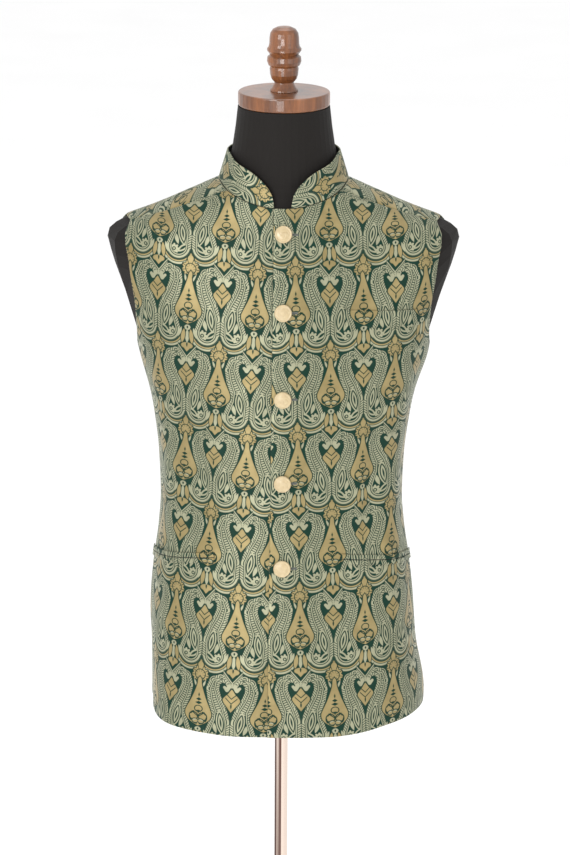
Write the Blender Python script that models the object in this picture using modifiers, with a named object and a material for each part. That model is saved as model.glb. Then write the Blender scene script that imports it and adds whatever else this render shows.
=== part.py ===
"""A buttoned nehru jacket on a limbless dress form.

Metres, +Z up, the origin on the floor under the middle of the foot.
The wearer faces -Y, so the wearer's left is at +X.
Every cloth panel is a grid on one body surface, which SECTIONS describes.
"""
import math

import bmesh
import bpy
import numpy as np
from mathutils import Matrix, Vector

NAME = "nehru_jacket_on_dress_form"

# Cloth
CLOTH = 0.0016            # thickness of the jacket's cloth
COLLAR_CLOTH = 0.0020     # the band collar is stiffened, so it is a little thicker
SEAM_GAP = 0.0004         # space between two panels at a seam
LAYER_GAP = 0.00035       # space between a panel and what lies on it
LAP_SPARE = 0.0002        # more space under the overlapping front
BUTTON_SPARE = 0.0003     # more space under a button
POLE_SPARE = 0.0003       # space at each end of the pole

# Body surface, a row for each level: height, half width, depth in front of and behind the pole,
# roundness of the outline (2 is an ellipse), and how far the form lies inside the cloth
SECTION_COLUMNS = ("height", "half", "front", "back", "power", "ease")
SECTIONS = (
    (0.700, 0.1800, 0.1330, 0.1300, 2.80, 0.0140),
    (0.735, 0.1800, 0.1325, 0.1285, 2.80, 0.0140),
    (0.780, 0.1800, 0.1310, 0.1270, 2.75, 0.0140),
    (0.850, 0.1785, 0.1275, 0.1235, 2.60, 0.0135),
    (0.900, 0.1765, 0.1245, 0.1200, 2.50, 0.0125),
    (0.950, 0.1720, 0.1205, 0.1165, 2.42, 0.0115),
    (1.000, 0.1660, 0.1175, 0.1140, 2.35, 0.0105),
    (1.040, 0.1632, 0.1165, 0.1130, 2.30, 0.0100),
    (1.100, 0.1652, 0.1180, 0.1135, 2.30, 0.0090),
    (1.160, 0.1718, 0.1210, 0.1160, 2.35, 0.0070),
    (1.210, 0.1812, 0.1240, 0.1190, 2.40, 0.0045),
    (1.255, 0.1930, 0.1250, 0.1215, 2.40, 0.0022),
    (1.290, 0.2030, 0.1235, 0.1225, 2.40, 0.0018),
    (1.320, 0.2125, 0.1205, 0.1220, 2.37, 0.0018),
    (1.350, 0.2235, 0.1150, 0.1200, 2.32, 0.0020),
    (1.376, 0.2320, 0.1080, 0.1160, 2.22, 0.0026),
    (1.395, 0.2372, 0.1020, 0.1110, 2.12, 0.0031),
    (1.4060, 0.2350, 0.0984, 0.1075, 2.04, 0.0037),
    (1.4140, 0.2260, 0.0955, 0.1045, 1.96, 0.0038),
    (1.4215, 0.2090, 0.0928, 0.1010, 1.90, 0.0036),
    (1.4300, 0.1860, 0.0898, 0.0975, 1.85, 0.0031),
    (1.4400, 0.1610, 0.0865, 0.0935, 1.82, 0.0031),
    (1.4505, 0.1370, 0.0828, 0.0890, 1.84, 0.0036),
    (1.4615, 0.1110, 0.0785, 0.0840, 1.90, 0.0043),
    (1.4740, 0.0850, 0.0735, 0.0780, 1.98, 0.0040),
    (1.4890, 0.0755, 0.0695, 0.0735, 2.00, 0.0018),
    (1.5170, 0.0692, 0.0660, 0.0685, 2.00, 0.0012),
    (1.5450, 0.0650, 0.0635, 0.0640, 2.00, 0.0012),
    (1.5720, 0.0620, 0.0615, 0.0615, 2.00, 0.0012),
)

# Soft folds of the worn cloth, a row for each: direction from the front in degrees (positive on
# the wearer's left), height of its middle, half spread in degrees and in metres, and rise
FOLD_COLUMNS = ("azimuth", "height", "spread", "reach", "rise")
FOLDS = (
    (67, 1.085, 7.0, 0.150, 0.0038),
    (-68, 1.070, 7.0, 0.140, 0.0030),
    (54, 1.080, 7.0, 0.130, -0.0022),
    (-52, 1.090, 8.0, 0.120, -0.0018),
    (92, 1.070, 17.0, 0.130, -0.0030),
    (84, 1.236, 9.0, 0.030, 0.0044),
    (-85, 1.230, 9.0, 0.030, 0.0020),
    (87, 0.762, 17.0, 0.060, 0.0140),
    (-84, 0.770, 15.0, 0.080, -0.0055),
    (-58, 0.735, 10.0, 0.050, 0.0040),
    (54, 0.735, 9.0, 0.060, -0.0040),
    (27, 0.750, 11.0, 0.080, 0.0026),
    (-27, 0.780, 11.0, 0.090, 0.0022),
    (146, 1.060, 8.0, 0.150, 0.0034),
    (-149, 1.080, 8.0, 0.140, 0.0028),
    (165, 0.940, 8.0, 0.150, -0.0018),
    (-163, 0.930, 8.0, 0.160, -0.0022),
    (128, 0.760, 12.0, 0.070, 0.0040),
    (-133, 0.765, 12.0, 0.080, 0.0034),
    (122, 1.215, 8.0, 0.045, 0.0026),
    (-124, 1.210, 8.0, 0.045, 0.0022),
)

# Jacket outline
HEM_FRONT = 0.7345        # height of the hem at the middle of the front
HEM_SIDE_RISE = 0.013     # how much higher the hem is at the side seams
VENT_TOP = 0.812          # the side vents open from here down
VENT_ANGLE = 3.4          # how far a vent's edge swings away at the hem, in degrees
UNDERARM = 1.250          # height of the side seam's top
ARMHOLE_MIDDLE = 1.336    # height of the armhole's widest level
ARMHOLE_SWING = 17.0      # how far the armhole reaches in front of the side, in degrees
ARMHOLE_BACK_SWING = 15.5
ARMHOLE_FULLNESS = 0.55   # under 1 squares the armhole's upper half
SHOULDER_END = 80         # where the shoulder seam meets the armhole's oval, in degrees
SEAM_NECK_AZIMUTH = 55.0  # where the forward shoulder seam meets the neckline
NECK_FRONT = 1.4500       # height of the neckline in front, at the sides and behind
NECK_SIDE = 1.4735
NECK_BACK = 1.4800
NECK_FRONT_TURN = 6       # the neckline is level in front up to this direction, in degrees
NECK_SIDE_TURN = 84       # and has its side height here
SEAM_CURVE = (0.62, 1.15) # how the shoulder seam bends, in direction and in height
SEAM_SET_BACK = 0.75      # each panel stands back from the shoulder seam by this share of SEAM_GAP
VENT_CURVE = 1.3          # how a vent's edge bends
VENT_BACK = 0.35          # how far its back edge swings, as a share of the front one
LAP_EDGE_TOP = -0.0125    # the overlapping edge, from the middle, at the neckline
LAP_EDGE_HEM = -0.0190    # and at the hem
UNDERLAP_EDGE = 0.0120    # the covered front reaches this far past the middle
LAP_FULL = 0.0160         # the overlap lies on the covered front up to here
LAP_END = 0.0560          # and has come down to the body surface here

# Panel grids
LOW_ROWS = 18             # rows from the hem to the underarm
NECK_ROW = 6              # rows from the underarm's level to the neckline
HIGH_ROWS = 14            # rows from the underarm to the shoulder seam
BACK_NECK_ROW = 5         # rows of the back from the underarm's level to the neckline
COLUMNS = 13              # columns from the middle to the side
ROUTE_STEPS = 90          # points of a border before it is spaced evenly
PROBE_TURN = 0.4          # steps along the surface that give its direction, in degrees
PROBE_RISE = 0.001        # and in metres

# Collar
COLLAR_HEIGHT = 0.0400
COLLAR_LEAN = 0.0115      # how far its top leans towards the neck at the sides
COLLAR_FRONT_LEAN = 0.0070
COLLAR_BACK_LEAN = 0.0030
COLLAR_CORNER = 0.0490    # length along the collar of its rounded front corners
COLLAR_CORNER_DROP = 0.0365   # and how much lower the collar is at its ends
COLLAR_END_RIGHT = -0.0125
COLLAR_END_LEFT = 0.0105
COLLAR_SEAT = 0.0004      # space between the collar's foot and the panels' edge
COLLAR_ROWS = 3
COLLAR_END_POINTS = 6     # points of the neckline at each front end, which the collar splits
COLLAR_END_PARTS = 3      # into this many parts each

# Pockets: distances along the cloth from the middle, and heights of the pocket line
HIP_POCKET_START = 0.079
HIP_POCKET_END = 0.222
HIP_POCKET_INNER_HEIGHT = 0.9800
HIP_POCKET_OUTER_HEIGHT = 0.9600
JET_WIDTH = 0.0065
JET_SLIT = 0.0008
WELT_START = 0.078
WELT_END = 0.184
WELT_INNER_HEIGHT = 1.3235
WELT_OUTER_HEIGHT = 1.3160
WELT_WIDTH = 0.0225
TRIM_CLOTH = 0.0014
TRIM_GAP = 0.0008         # space between a panel and the jets and welt on it
STRIP_COLUMN_GAP = 0.02   # a strip's columns lie at least this far apart, in panel columns

# Buttons
BUTTON_HEIGHTS = (1.4185, 1.3200, 1.2040, 1.0872, 0.9695)
BUTTON_PROFILE = (        # radius and height of the outline, from the crown down to the back
    (0.0000, 0.0056),
    (0.0045, 0.0053),
    (0.0082, 0.0042),
    (0.0092, 0.0041),
    (0.0104, 0.0046),
    (0.0115, 0.0036),
    (0.0115, 0.0022),
    (0.0095, 0.0000),
    (0.0000, 0.0000),
)
BUTTON_STEPS = 20

# Dress form
FORM_COLUMNS = 44
FORM_LOW_ROWS = 16
FORM_BOTTOM = 0.772
FORM_CHEST = 1.360        # above this the form has a ring of points at each section row
FORM_EDGE = 0.016         # height of the rounding at its lower edge
FORM_EDGE_DEPTH = 0.0096  # and how far that turns in
NECK_TOP = 1.5715

# Turned cap and finial
CAP_PROFILE = (           # radius, height
    (0.0000, 1.5910),
    (0.0592, 1.5910),
    (0.0604, 1.5902),
    (0.0608, 1.5888),
    (0.0607, 1.5748),
    (0.0600, 1.5730),
    (0.0582, 1.5718),
    (0.0000, 1.5718),
)
FINIAL_PROFILE = (
    (0.0000, 1.6772),
    (0.0090, 1.6762),
    (0.0152, 1.6732),
    (0.0184, 1.6685),
    (0.0194, 1.6625),
    (0.0198, 1.6540),
    (0.0206, 1.6505),
    (0.0228, 1.6475),
    (0.0226, 1.6450),
    (0.0206, 1.6422),
    (0.0187, 1.6396),
    (0.0222, 1.6368),
    (0.0227, 1.6310),
    (0.0211, 1.6262),
    (0.0186, 1.6238),
    (0.0191, 1.6205),
    (0.0184, 1.6130),
    (0.0170, 1.6082),
    (0.0146, 1.6050),
    (0.0126, 1.6030),
    (0.0134, 1.6010),
    (0.0156, 1.5967),
    (0.0180, 1.5935),
    (0.0184, 1.5914),
    (0.0000, 1.5914),
)
FINIAL_STEPS = 28
CAP_STEPS = 40

# Pole and foot
POLE_RADIUS = 0.0091
FOOT_RADIUS = 0.1700
FOOT_PROFILE = (
    (0.0000, 0.0260),
    (0.0160, 0.0260),
    (0.0190, 0.0235),
    (0.0215, 0.0170),
    (0.0300, 0.0135),
    (0.1600, 0.0105),
    (0.1685, 0.0085),
    (FOOT_RADIUS, 0.0055),
    (FOOT_RADIUS, 0.0000),
    (0.0000, 0.0000),
)
FOOT_STEPS = 56
POLE_STEPS = 24

# Shading and turning
SHARP_ANGLE = 35          # edges bent more than this are drawn sharp, in degrees
AXIS_MERGE = 0.00001      # a turned solid's points this near its axis are joined


def clear_scene():
    for thing in list(bpy.data.objects):
        bpy.data.objects.remove(thing, do_unlink=True)


def smooth(value):
    """A soft step from 0 to 1."""
    t = min(max(value, 0.0), 1.0)
    return t * t * (3 - 2 * t)


def mix(a, b, t):
    return a + (b - a) * t


class Curve:
    """A smooth curve through a table's columns, read at any height."""

    def __init__(self, rows, names):
        self.names = names
        self.rows = np.array(rows, dtype=float)
        gaps = np.diff(self.rows, axis=0)
        slopes = gaps / gaps[:, :1]
        inner = np.where(slopes[1:] * slopes[:-1] > 0, 2 * slopes[1:] * slopes[:-1], 0)
        inner = inner / np.where(inner != 0, slopes[1:] + slopes[:-1], 1)
        self.slopes = np.vstack([slopes[:1], inner, slopes[-1:]])

    def at(self, height):
        heights = self.rows[:, 0]
        height = min(max(height, heights[0]), heights[-1])
        low = min(int(np.searchsorted(heights, height, side="right")) - 1, len(heights) - 2)
        span = heights[low + 1] - heights[low]
        t = (height - heights[low]) / span
        a, b = self.rows[low], self.rows[low + 1]
        start, end = self.slopes[low] * span, self.slopes[low + 1] * span
        row = (
            a * (1 + 2 * t) * (1 - t) ** 2
            + start * t * (1 - t) ** 2
            + b * t * t * (3 - 2 * t)
            + end * t * t * (t - 1)
        )
        return dict(zip(self.names, row))


BODY = Curve(SECTIONS, SECTION_COLUMNS)


def section_radius(section, azimuth, ease=0.0):
    """Distance from the pole to the outline, in a direction from the front in degrees."""
    angle = math.radians(azimuth)
    across, along = abs(math.sin(angle)), math.cos(angle)
    depth = section["front"] if along > 0 else section["back"]
    power = section["power"]
    total = (across / (section["half"] - ease)) ** power + (abs(along) / (depth - ease)) ** power
    return total ** (-1 / power)


def fold_rise(azimuth, height):
    """How far the folds lift the cloth off the plain surface."""
    rise = 0.0
    for row in FOLDS:
        fold = dict(zip(FOLD_COLUMNS, row))
        turn = (azimuth - fold["azimuth"] + 180) % 360 - 180
        across = turn / fold["spread"]
        along = (height - fold["height"]) / fold["reach"]
        rise += fold["rise"] * math.exp(-across * across - along * along)
    return rise


def surface_point(azimuth, height, ease=0.0, folds=True):
    section = BODY.at(height)
    radius = section_radius(section, azimuth, ease)
    if folds:
        radius += fold_rise(azimuth, height)
    angle = math.radians(azimuth)
    return np.array((radius * math.sin(angle), -radius * math.cos(angle), height))


def outward(azimuth, height):
    """The surface's outward direction, from two short steps along it."""
    left, right = azimuth - PROBE_TURN, azimuth + PROBE_TURN
    low, high = height - PROBE_RISE, height + PROBE_RISE
    around = surface_point(right, height) - surface_point(left, height)
    upward = surface_point(azimuth, high) - surface_point(azimuth, low)
    normal = np.cross(around, upward)
    return normal / np.linalg.norm(normal)


def azimuth_at_x(x, height):
    """The direction of the point in front whose distance from the middle is x."""
    azimuth = math.degrees(math.atan2(x, BODY.at(height)["front"]))
    for _ in range(4):
        section = BODY.at(height)
        radius = section_radius(section, azimuth) + fold_rise(azimuth, height)
        azimuth = math.degrees(math.asin(x / radius))
    return azimuth


def neck_height(azimuth):
    """Height of the neckline round the neck."""
    turn = abs(azimuth)
    if turn < 90:
        share = (turn - NECK_FRONT_TURN) / (NECK_SIDE_TURN - NECK_FRONT_TURN)
        return mix(NECK_FRONT, NECK_SIDE, smooth(share))
    return mix(NECK_SIDE, NECK_BACK, smooth((turn - NECK_SIDE_TURN) / (180 - NECK_SIDE_TURN)))


def armhole_point(turn):
    """A point of the armhole's oval as direction and height; turn is -90 at the underarm."""
    width, rise = math.cos(math.radians(turn)), math.sin(math.radians(turn))
    fullness = ARMHOLE_FULLNESS if rise > 0 else 1.0
    reach = ARMHOLE_SWING if width > 0 else -ARMHOLE_BACK_SWING
    swing = reach * abs(width) ** fullness
    rise = (ARMHOLE_MIDDLE - UNDERARM) * rise
    return np.array((90 - swing, ARMHOLE_MIDDLE + rise))


def shoulder_seam(across):
    """The forward shoulder seam, from the neckline at 0 to the armhole at 1."""
    start = np.array((SEAM_NECK_AZIMUTH, neck_height(SEAM_NECK_AZIMUTH)))
    end = armhole_point(SHOULDER_END)
    azimuth = mix(start[0], end[0], across ** SEAM_CURVE[0])
    height = mix(start[1], end[1], across ** SEAM_CURVE[1])
    return np.array((azimuth, height))


def hem_height(azimuth):
    side = abs(math.sin(math.radians(azimuth)))
    return HEM_FRONT + HEM_SIDE_RISE * side ** 4


def lap_lift(x):
    """The overlapping front rides this far out on the covered one."""
    lift = CLOTH + LAYER_GAP + LAP_SPARE
    return lift * (1 - smooth((x - LAP_FULL) / (LAP_END - LAP_FULL)))


def low_heights(azimuth):
    """Heights of a panel's rows from the hem up to the underarm."""
    hem = hem_height(azimuth)
    return [mix(hem, UNDERARM, row / LOW_ROWS) for row in range(LOW_ROWS + 1)]


def side_azimuth(height, front):
    """The side seam's edge of a front or a back, with the vent open below VENT_TOP."""
    section = BODY.at(height)
    gap = math.degrees(0.5 * SEAM_GAP / section["half"])
    opening = VENT_ANGLE * max(0.0, (VENT_TOP - height) / (VENT_TOP - HEM_FRONT)) ** VENT_CURVE
    if front:
        return 90 - gap - opening
    return 90 + gap + VENT_BACK * opening


def lap_edge(height):
    """The overlapping edge's distance from the middle."""
    return mix(LAP_EDGE_HEM, LAP_EDGE_TOP, (height - HEM_FRONT) / (NECK_FRONT - HEM_FRONT))


def even_steps(route, count):
    """Points spaced evenly along a dense route of directions and heights."""
    dense = np.array(route)
    places = np.array([surface_point(a, z, folds=False) for a, z in dense])
    lengths = np.concatenate([[0], np.cumsum(np.linalg.norm(np.diff(places, axis=0), axis=1))])
    wanted = np.linspace(0, lengths[-1], count + 1)
    azimuths = np.interp(wanted, lengths, dense[:, 0])
    heights = np.interp(wanted, lengths, dense[:, 1])
    return np.column_stack([azimuths, heights])


def front_edges(side):
    """The left and right borders of a front as directions and heights, row by row."""
    inner, outer = [], []
    for row in range(LOW_ROWS + 1):
        height = low_heights(0)[row]
        inner.append((side * azimuth_at_x(front_edge_x(side, height), height), height))
        height = low_heights(90)[row]
        outer.append((side_azimuth(height, True), height))
    top = neck_height(0)
    for row in range(1, NECK_ROW + 1):
        height = mix(UNDERARM, top, row / NECK_ROW)
        inner.append((side * azimuth_at_x(front_edge_x(side, height), height), height))
    start = inner[-1][0]
    turns = np.linspace(start, SEAM_NECK_AZIMUTH, ROUTE_STEPS)
    neckline = even_steps([(turn, neck_height(turn)) for turn in turns], HIGH_ROWS - NECK_ROW)
    inner += [tuple(place) for place in neckline[1:]]
    turns = np.linspace(-90, SHOULDER_END, ROUTE_STEPS)
    armhole = even_steps([armhole_point(turn) for turn in turns], HIGH_ROWS)
    outer += [tuple(place) for place in armhole[1:]]
    return inner, outer


def front_edge_x(side, height):
    """Where a front's edge lies: the wearer's left laps over, the right lies under."""
    if side > 0:
        return lap_edge(height)
    return -UNDERLAP_EDGE


def patch(inner, outer, bottom, top):
    """Fills the four borders of a panel with a grid of directions and heights."""
    rows, columns = len(inner), len(bottom)
    grid = np.zeros((rows, columns, 2))
    for row in range(rows):
        up = row / (rows - 1)
        for column in range(columns):
            over = column / (columns - 1)
            sides = mix(inner[row], outer[row], over)
            ends = mix(bottom[column], top[column], up)
            corners = mix(
                mix(inner[0], outer[0], over),
                mix(inner[-1], outer[-1], over),
                up,
            )
            grid[row, column] = sides + ends - corners
    return grid


def shift_seam(line, amount):
    """Moves the shoulder seam's border round the body by a distance."""
    moved = []
    for azimuth, height in line:
        radius = section_radius(BODY.at(height), azimuth)
        moved.append((azimuth + math.degrees(amount / radius), height))
    return np.array(moved)


def front_grid(side):
    """Points of a front; side is 1 for the wearer's left and -1 for the right."""
    inner, outer = front_edges(side)
    top = shift_seam(seam_line(), -SEAM_SET_BACK * SEAM_GAP)
    points = panel_points(inner, outer, top, side)
    if side > 0:
        for place in np.ndindex(points.shape[:2]):
            points[place] += grid_normal(points, *place) * lap_lift(points[place][0])
    return points


def back_grid(side):
    """Points of half of the back, from its middle to the side; side is 1 for the wearer's left."""
    inner, outer = [], []
    for row in range(LOW_ROWS + 1):
        inner.append((180.0, low_heights(180)[row]))
        height = low_heights(90)[row]
        outer.append((side_azimuth(height, False), height))
    for row in range(1, BACK_NECK_ROW + 1):
        inner.append((180.0, mix(UNDERARM, NECK_BACK, row / BACK_NECK_ROW)))
    turns = np.linspace(180, SEAM_NECK_AZIMUTH, ROUTE_STEPS)
    steps = HIGH_ROWS - BACK_NECK_ROW
    neckline = even_steps([(turn, neck_height(turn)) for turn in turns], steps)
    inner += [tuple(place) for place in neckline[1:]]
    turns = np.linspace(270, SHOULDER_END, ROUTE_STEPS)
    armhole = even_steps([armhole_point(turn) for turn in turns], HIGH_ROWS)
    outer += [tuple(place) for place in armhole[1:]]
    top = shift_seam(seam_line(), SEAM_SET_BACK * SEAM_GAP)
    return panel_points(inner, outer, top, side)


def seam_line():
    return [shoulder_seam(column / COLUMNS) for column in range(COLUMNS + 1)]


def panel_points(inner, outer, top, side):
    """The points of a panel whose side borders and shoulder seam are given."""
    inner[-1], outer[-1] = top[0], top[-1]
    inner, outer = np.array(inner), np.array(outer)
    bottom = []
    for column in range(COLUMNS + 1):
        azimuth = mix(inner[0][0], outer[0][0], column / COLUMNS)
        bottom.append((azimuth, hem_height(azimuth)))
    bottom[0], bottom[-1] = inner[0], outer[0]
    grid = patch(inner, outer, np.array(bottom), top)
    points = np.zeros(grid.shape[:2] + (3,))
    for row in range(grid.shape[0]):
        for column in range(grid.shape[1]):
            azimuth, height = grid[row, column]
            points[row, column] = surface_point(side * azimuth, height)
    return points


def make_material(name, colour, roughness, metallic=0.0):
    material = bpy.data.materials.new(name)
    material.use_nodes = True
    shader = material.node_tree.nodes["Principled BSDF"]
    shader.inputs["Base Color"].default_value = (*colour, 1.0)
    shader.inputs["Roughness"].default_value = roughness
    shader.inputs["Metallic"].default_value = metallic
    material.diffuse_color = (*colour, 1.0)
    return material


def add_object(name, points, faces, collection, material):
    mesh = bpy.data.meshes.new(name)
    mesh.from_pydata([tuple(point) for point in points], [], faces)
    mesh.update()
    thing = bpy.data.objects.new(name, mesh)
    collection.objects.link(thing)
    thing.data.materials.append(material)
    thing.data.shade_smooth()
    thing.data.set_sharp_from_angle(angle=math.radians(SHARP_ANGLE))
    return thing


def grid_faces(rows, columns, flip):
    faces = []
    for row in range(rows - 1):
        for column in range(columns - 1):
            a = row * columns + column
            face = (a, a + 1, a + 1 + columns, a + columns)
            faces.append(face[::-1] if flip else face)
    return faces


def add_sheet(name, grid, thickness, collection, material, flip=False, offset=1.0):
    """A grid of points as a wall of cloth; the wall grows outwards from the grid."""
    rows, columns = grid.shape[:2]
    faces = grid_faces(rows, columns, flip)
    thing = add_object(name, grid.reshape(-1, 3), faces, collection, material)
    thicken(thing, thickness, offset)
    return thing


def thicken(thing, thickness, offset):
    """Gives an open surface its wall; offset 1 grows it outwards and -1 inwards."""
    wall = thing.modifiers.new("Cloth thickness", "SOLIDIFY")
    wall.thickness = thickness
    wall.offset = offset
    wall.use_even_offset = True


def add_turned(name, profile, steps, collection, material):
    """A turned solid from radius and height pairs, listed from the top down."""
    points = [(radius, 0.0, height) for radius, height in profile]
    edges = [(index, index + 1) for index in range(len(profile) - 1)]
    mesh = bpy.data.meshes.new(name)
    mesh.from_pydata(points, edges, [])
    thing = bpy.data.objects.new(name, mesh)
    collection.objects.link(thing)
    thing.data.materials.append(material)
    turn = thing.modifiers.new("Turning", "SCREW")
    turn.steps = steps
    turn.render_steps = steps
    turn.use_merge_vertices = True
    turn.merge_threshold = AXIS_MERGE
    turn.use_smooth_shade = True
    return thing


def grid_normal(grid, row, column):
    """Outward direction of a panel near a grid place."""
    rows, columns = grid.shape[:2]
    row, column = int(round(row)), int(round(column))
    left, right = max(column - 1, 0), min(column + 1, columns - 1)
    low, high = max(row - 1, 0), min(row + 1, rows - 1)
    normal = np.cross(grid[row, right] - grid[row, left], grid[high, column] - grid[low, column])
    normal = normal / np.linalg.norm(normal)
    centre = np.array((0.0, 0.0, grid[row, column][2]))
    if np.dot(normal, grid[row, column] - centre) < 0:
        normal = -normal
    return normal


def on_grid(grid, row, column, out):
    """A point of a panel's outer face between its grid points, moved out."""
    rows, columns = grid.shape[:2]
    low = min(int(row), rows - 2)
    left = min(int(column), columns - 2)
    up, over = row - low, column - left
    corners = ((low, left), (low, left + 1), (low + 1, left), (low + 1, left + 1))
    shares = ((1 - up) * (1 - over), (1 - up) * over, up * (1 - over), up * over)
    point, normal = np.zeros(3), np.zeros(3)
    for corner, share in zip(corners, shares):
        point = point + share * grid[corner]
        normal = normal + share * grid_normal(grid, *corner)
    return point + normal / np.linalg.norm(normal) * out


def grid_place(grid, distance, height):
    """The row and column of a panel's grid at a distance from the middle and a height."""
    columns = grid.shape[1]
    column = columns / 2
    for _ in range(6):
        row = row_at_height(grid, column, height)
        low = min(int(row), grid.shape[0] - 2)
        line = grid[low] * (1 - (row - low)) + grid[low + 1] * (row - low)
        lengths = np.concatenate([[0], np.cumsum(np.linalg.norm(np.diff(line, axis=0), axis=1))])
        lengths = lengths - np.interp(0.0, line[:, 0] * np.sign(line[-1, 0]), lengths)
        column = float(np.interp(distance, lengths, np.arange(columns)))
    return row, column


def row_at_height(grid, column, height):
    """The row at which a panel's grid line at this column reaches a height."""
    lane = min(int(column), grid.shape[1] - 2)
    heights = mix(grid[:, lane, 2], grid[:, lane + 1, 2], column - lane)
    return float(np.interp(height, heights, np.arange(len(heights))))


def strip_on_panel(grid, start, end, heights, width, drop):
    """A strip of cloth on a panel between two distances; drop moves it below the line."""
    first = grid_place(grid, start, heights[0])[1]
    last = grid_place(grid, end, heights[1])[1]
    columns = [first] + [float(n) for n in range(math.ceil(first), math.floor(last) + 1)] + [last]
    columns = [here for here, gap in zip(columns, np.diff(columns + [last + 1])) if gap > STRIP_COLUMN_GAP]
    lines = []
    for edge in (drop + width, drop + width / 2, drop):
        line = []
        for column in columns:
            height = mix(heights[0], heights[1], (column - first) / (last - first)) - edge
            row = row_at_height(grid, column, height)
            line.append(on_grid(grid, row, column, CLOTH + TRIM_GAP))
        lines.append(line)
    return np.array(lines)


def add_fronts(collection, cloth):
    left = front_grid(1)
    right = front_grid(-1)
    add_sheet("front_left", left, CLOTH, collection, cloth)
    add_sheet("front_right", right, CLOTH, collection, cloth, flip=True)
    return left, right


def add_back(collection, cloth):
    """Both halves of the back, joined down the middle below the neckline."""
    halves = [back_grid(side) for side in (1, -1)]
    rows, columns = halves[0].shape[:2]
    points = [point for half in halves for point in half.reshape(-1, 3)]
    shared = LOW_ROWS + BACK_NECK_ROW + 1
    faces = grid_faces(rows, columns, True)
    second = rows * columns
    for face in grid_faces(rows, columns, False):
        moved = []
        for corner in face:
            row, column = divmod(corner, columns)
            moved.append(corner if column == 0 and row < shared else corner + second)
        faces.append(tuple(moved))
    thing = add_object("back", points, faces, collection, cloth)
    shape = bmesh.new()
    shape.from_mesh(thing.data)
    loose = [vertex for vertex in shape.verts if not vertex.link_faces]
    bmesh.ops.delete(shape, geom=loose, context="VERTS")
    shape.to_mesh(thing.data)
    shape.free()
    thicken(thing, CLOTH, 1.0)
    return halves


def collar_seam(left, right, halves):
    """The jacket's neckline as the panels have it, from the right front end to the left one."""
    rise = LOW_ROWS + NECK_ROW
    right_front = right[rise:, 0]
    left_front = left[rise:, 0]
    back_left, back_right = (half[LOW_ROWS + BACK_NECK_ROW:, 0] for half in halves)
    around = (right_front, back_right[::-1], back_left[1:], left_front[::-1])
    line = np.concatenate(around)
    start = cut_at_x(line[:COLLAR_END_POINTS], COLLAR_END_RIGHT)
    end = cut_at_x(line[::-1][:COLLAR_END_POINTS], COLLAR_END_LEFT)[::-1]
    middle = line[COLLAR_END_POINTS:-COLLAR_END_POINTS]
    return np.concatenate([finer(start), middle, finer(end)])


def cut_at_x(line, x):
    """Drops what lies past x from the start of a line across the front."""
    keep = [index for index in range(len(line)) if abs(line[index][0]) > abs(x)]
    keep = [index for index in keep if line[index][0] * x > 0]
    first = keep[0]
    share = (x - line[first - 1][0]) / (line[first][0] - line[first - 1][0])
    start = mix(line[first - 1], line[first], share)
    return np.vstack([start, line[first:]])


def finer(line):
    """Splits each straight run of a line, without leaving it."""
    points = [line[0]]
    for a, b in zip(line[:-1], line[1:]):
        for part in range(1, COLLAR_END_PARTS + 1):
            points.append(mix(a, b, part / COLLAR_END_PARTS))
    return np.array(points)


def collar_grid(left, right, halves):
    """The band collar, from its right front end round behind the neck to its left one."""
    line = collar_seam(left, right, halves)
    lengths = np.concatenate([[0], np.cumsum(np.linalg.norm(np.diff(line, axis=0), axis=1))])
    grid = np.zeros((COLLAR_ROWS + 1, len(line), 3))
    for column, place in enumerate(line):
        azimuth = math.degrees(math.atan2(place[0], -place[1]))
        normal = outward(azimuth, place[2])
        along = line[min(column + 1, len(line) - 1)] - line[max(column - 1, 0)]
        upward = np.cross(along / np.linalg.norm(along), normal)
        upward = upward * np.sign(upward[2])
        foot = place + normal * (CLOTH + LAYER_GAP) + upward * COLLAR_SEAT
        inward = -foot * np.array((1.0, 1.0, 0.0))
        inward = inward / np.linalg.norm(inward)
        end_lean = COLLAR_FRONT_LEAN if inward[1] > 0 else COLLAR_BACK_LEAN
        lean = mix(end_lean, COLLAR_LEAN, abs(inward[0]))
        from_end = min(lengths[column], lengths[-1] - lengths[column])
        short = max(0.0, COLLAR_CORNER - from_end)
        cut = COLLAR_CORNER_DROP * (1 - math.sqrt(1 - (short / COLLAR_CORNER) ** 2))
        top = COLLAR_HEIGHT - cut
        for row in range(COLLAR_ROWS + 1):
            share = row / COLLAR_ROWS * top / COLLAR_HEIGHT
            rise = math.sqrt(COLLAR_HEIGHT ** 2 - lean ** 2) * share
            grid[row, column] = foot + inward * lean * share + np.array((0.0, 0.0, rise))
    return grid


def add_collar(left, right, halves, collection, cloth):
    grid = collar_grid(left, right, halves)
    add_sheet("collar", grid, COLLAR_CLOTH, collection, cloth, flip=True, offset=-1.0)


def add_pockets(left, right, collection, cloth):
    heights = (HIP_POCKET_INNER_HEIGHT, HIP_POCKET_OUTER_HEIGHT)
    for side, grid, flip in (("left", left, False), ("right", right, True)):
        for jet, drop in (("upper", -JET_SLIT / 2 - JET_WIDTH), ("lower", JET_SLIT / 2)):
            name = f"hip_pocket_{side}_{jet}_jet"
            strip = strip_on_panel(grid, HIP_POCKET_START, HIP_POCKET_END, heights, JET_WIDTH, drop)
            add_sheet(name, strip, TRIM_CLOTH, collection, cloth, flip=flip)
    heights = (WELT_INNER_HEIGHT, WELT_OUTER_HEIGHT)
    strip = strip_on_panel(left, WELT_START, WELT_END, heights, WELT_WIDTH, 0.0)
    add_sheet("chest_welt", strip, TRIM_CLOTH, collection, cloth)


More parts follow.
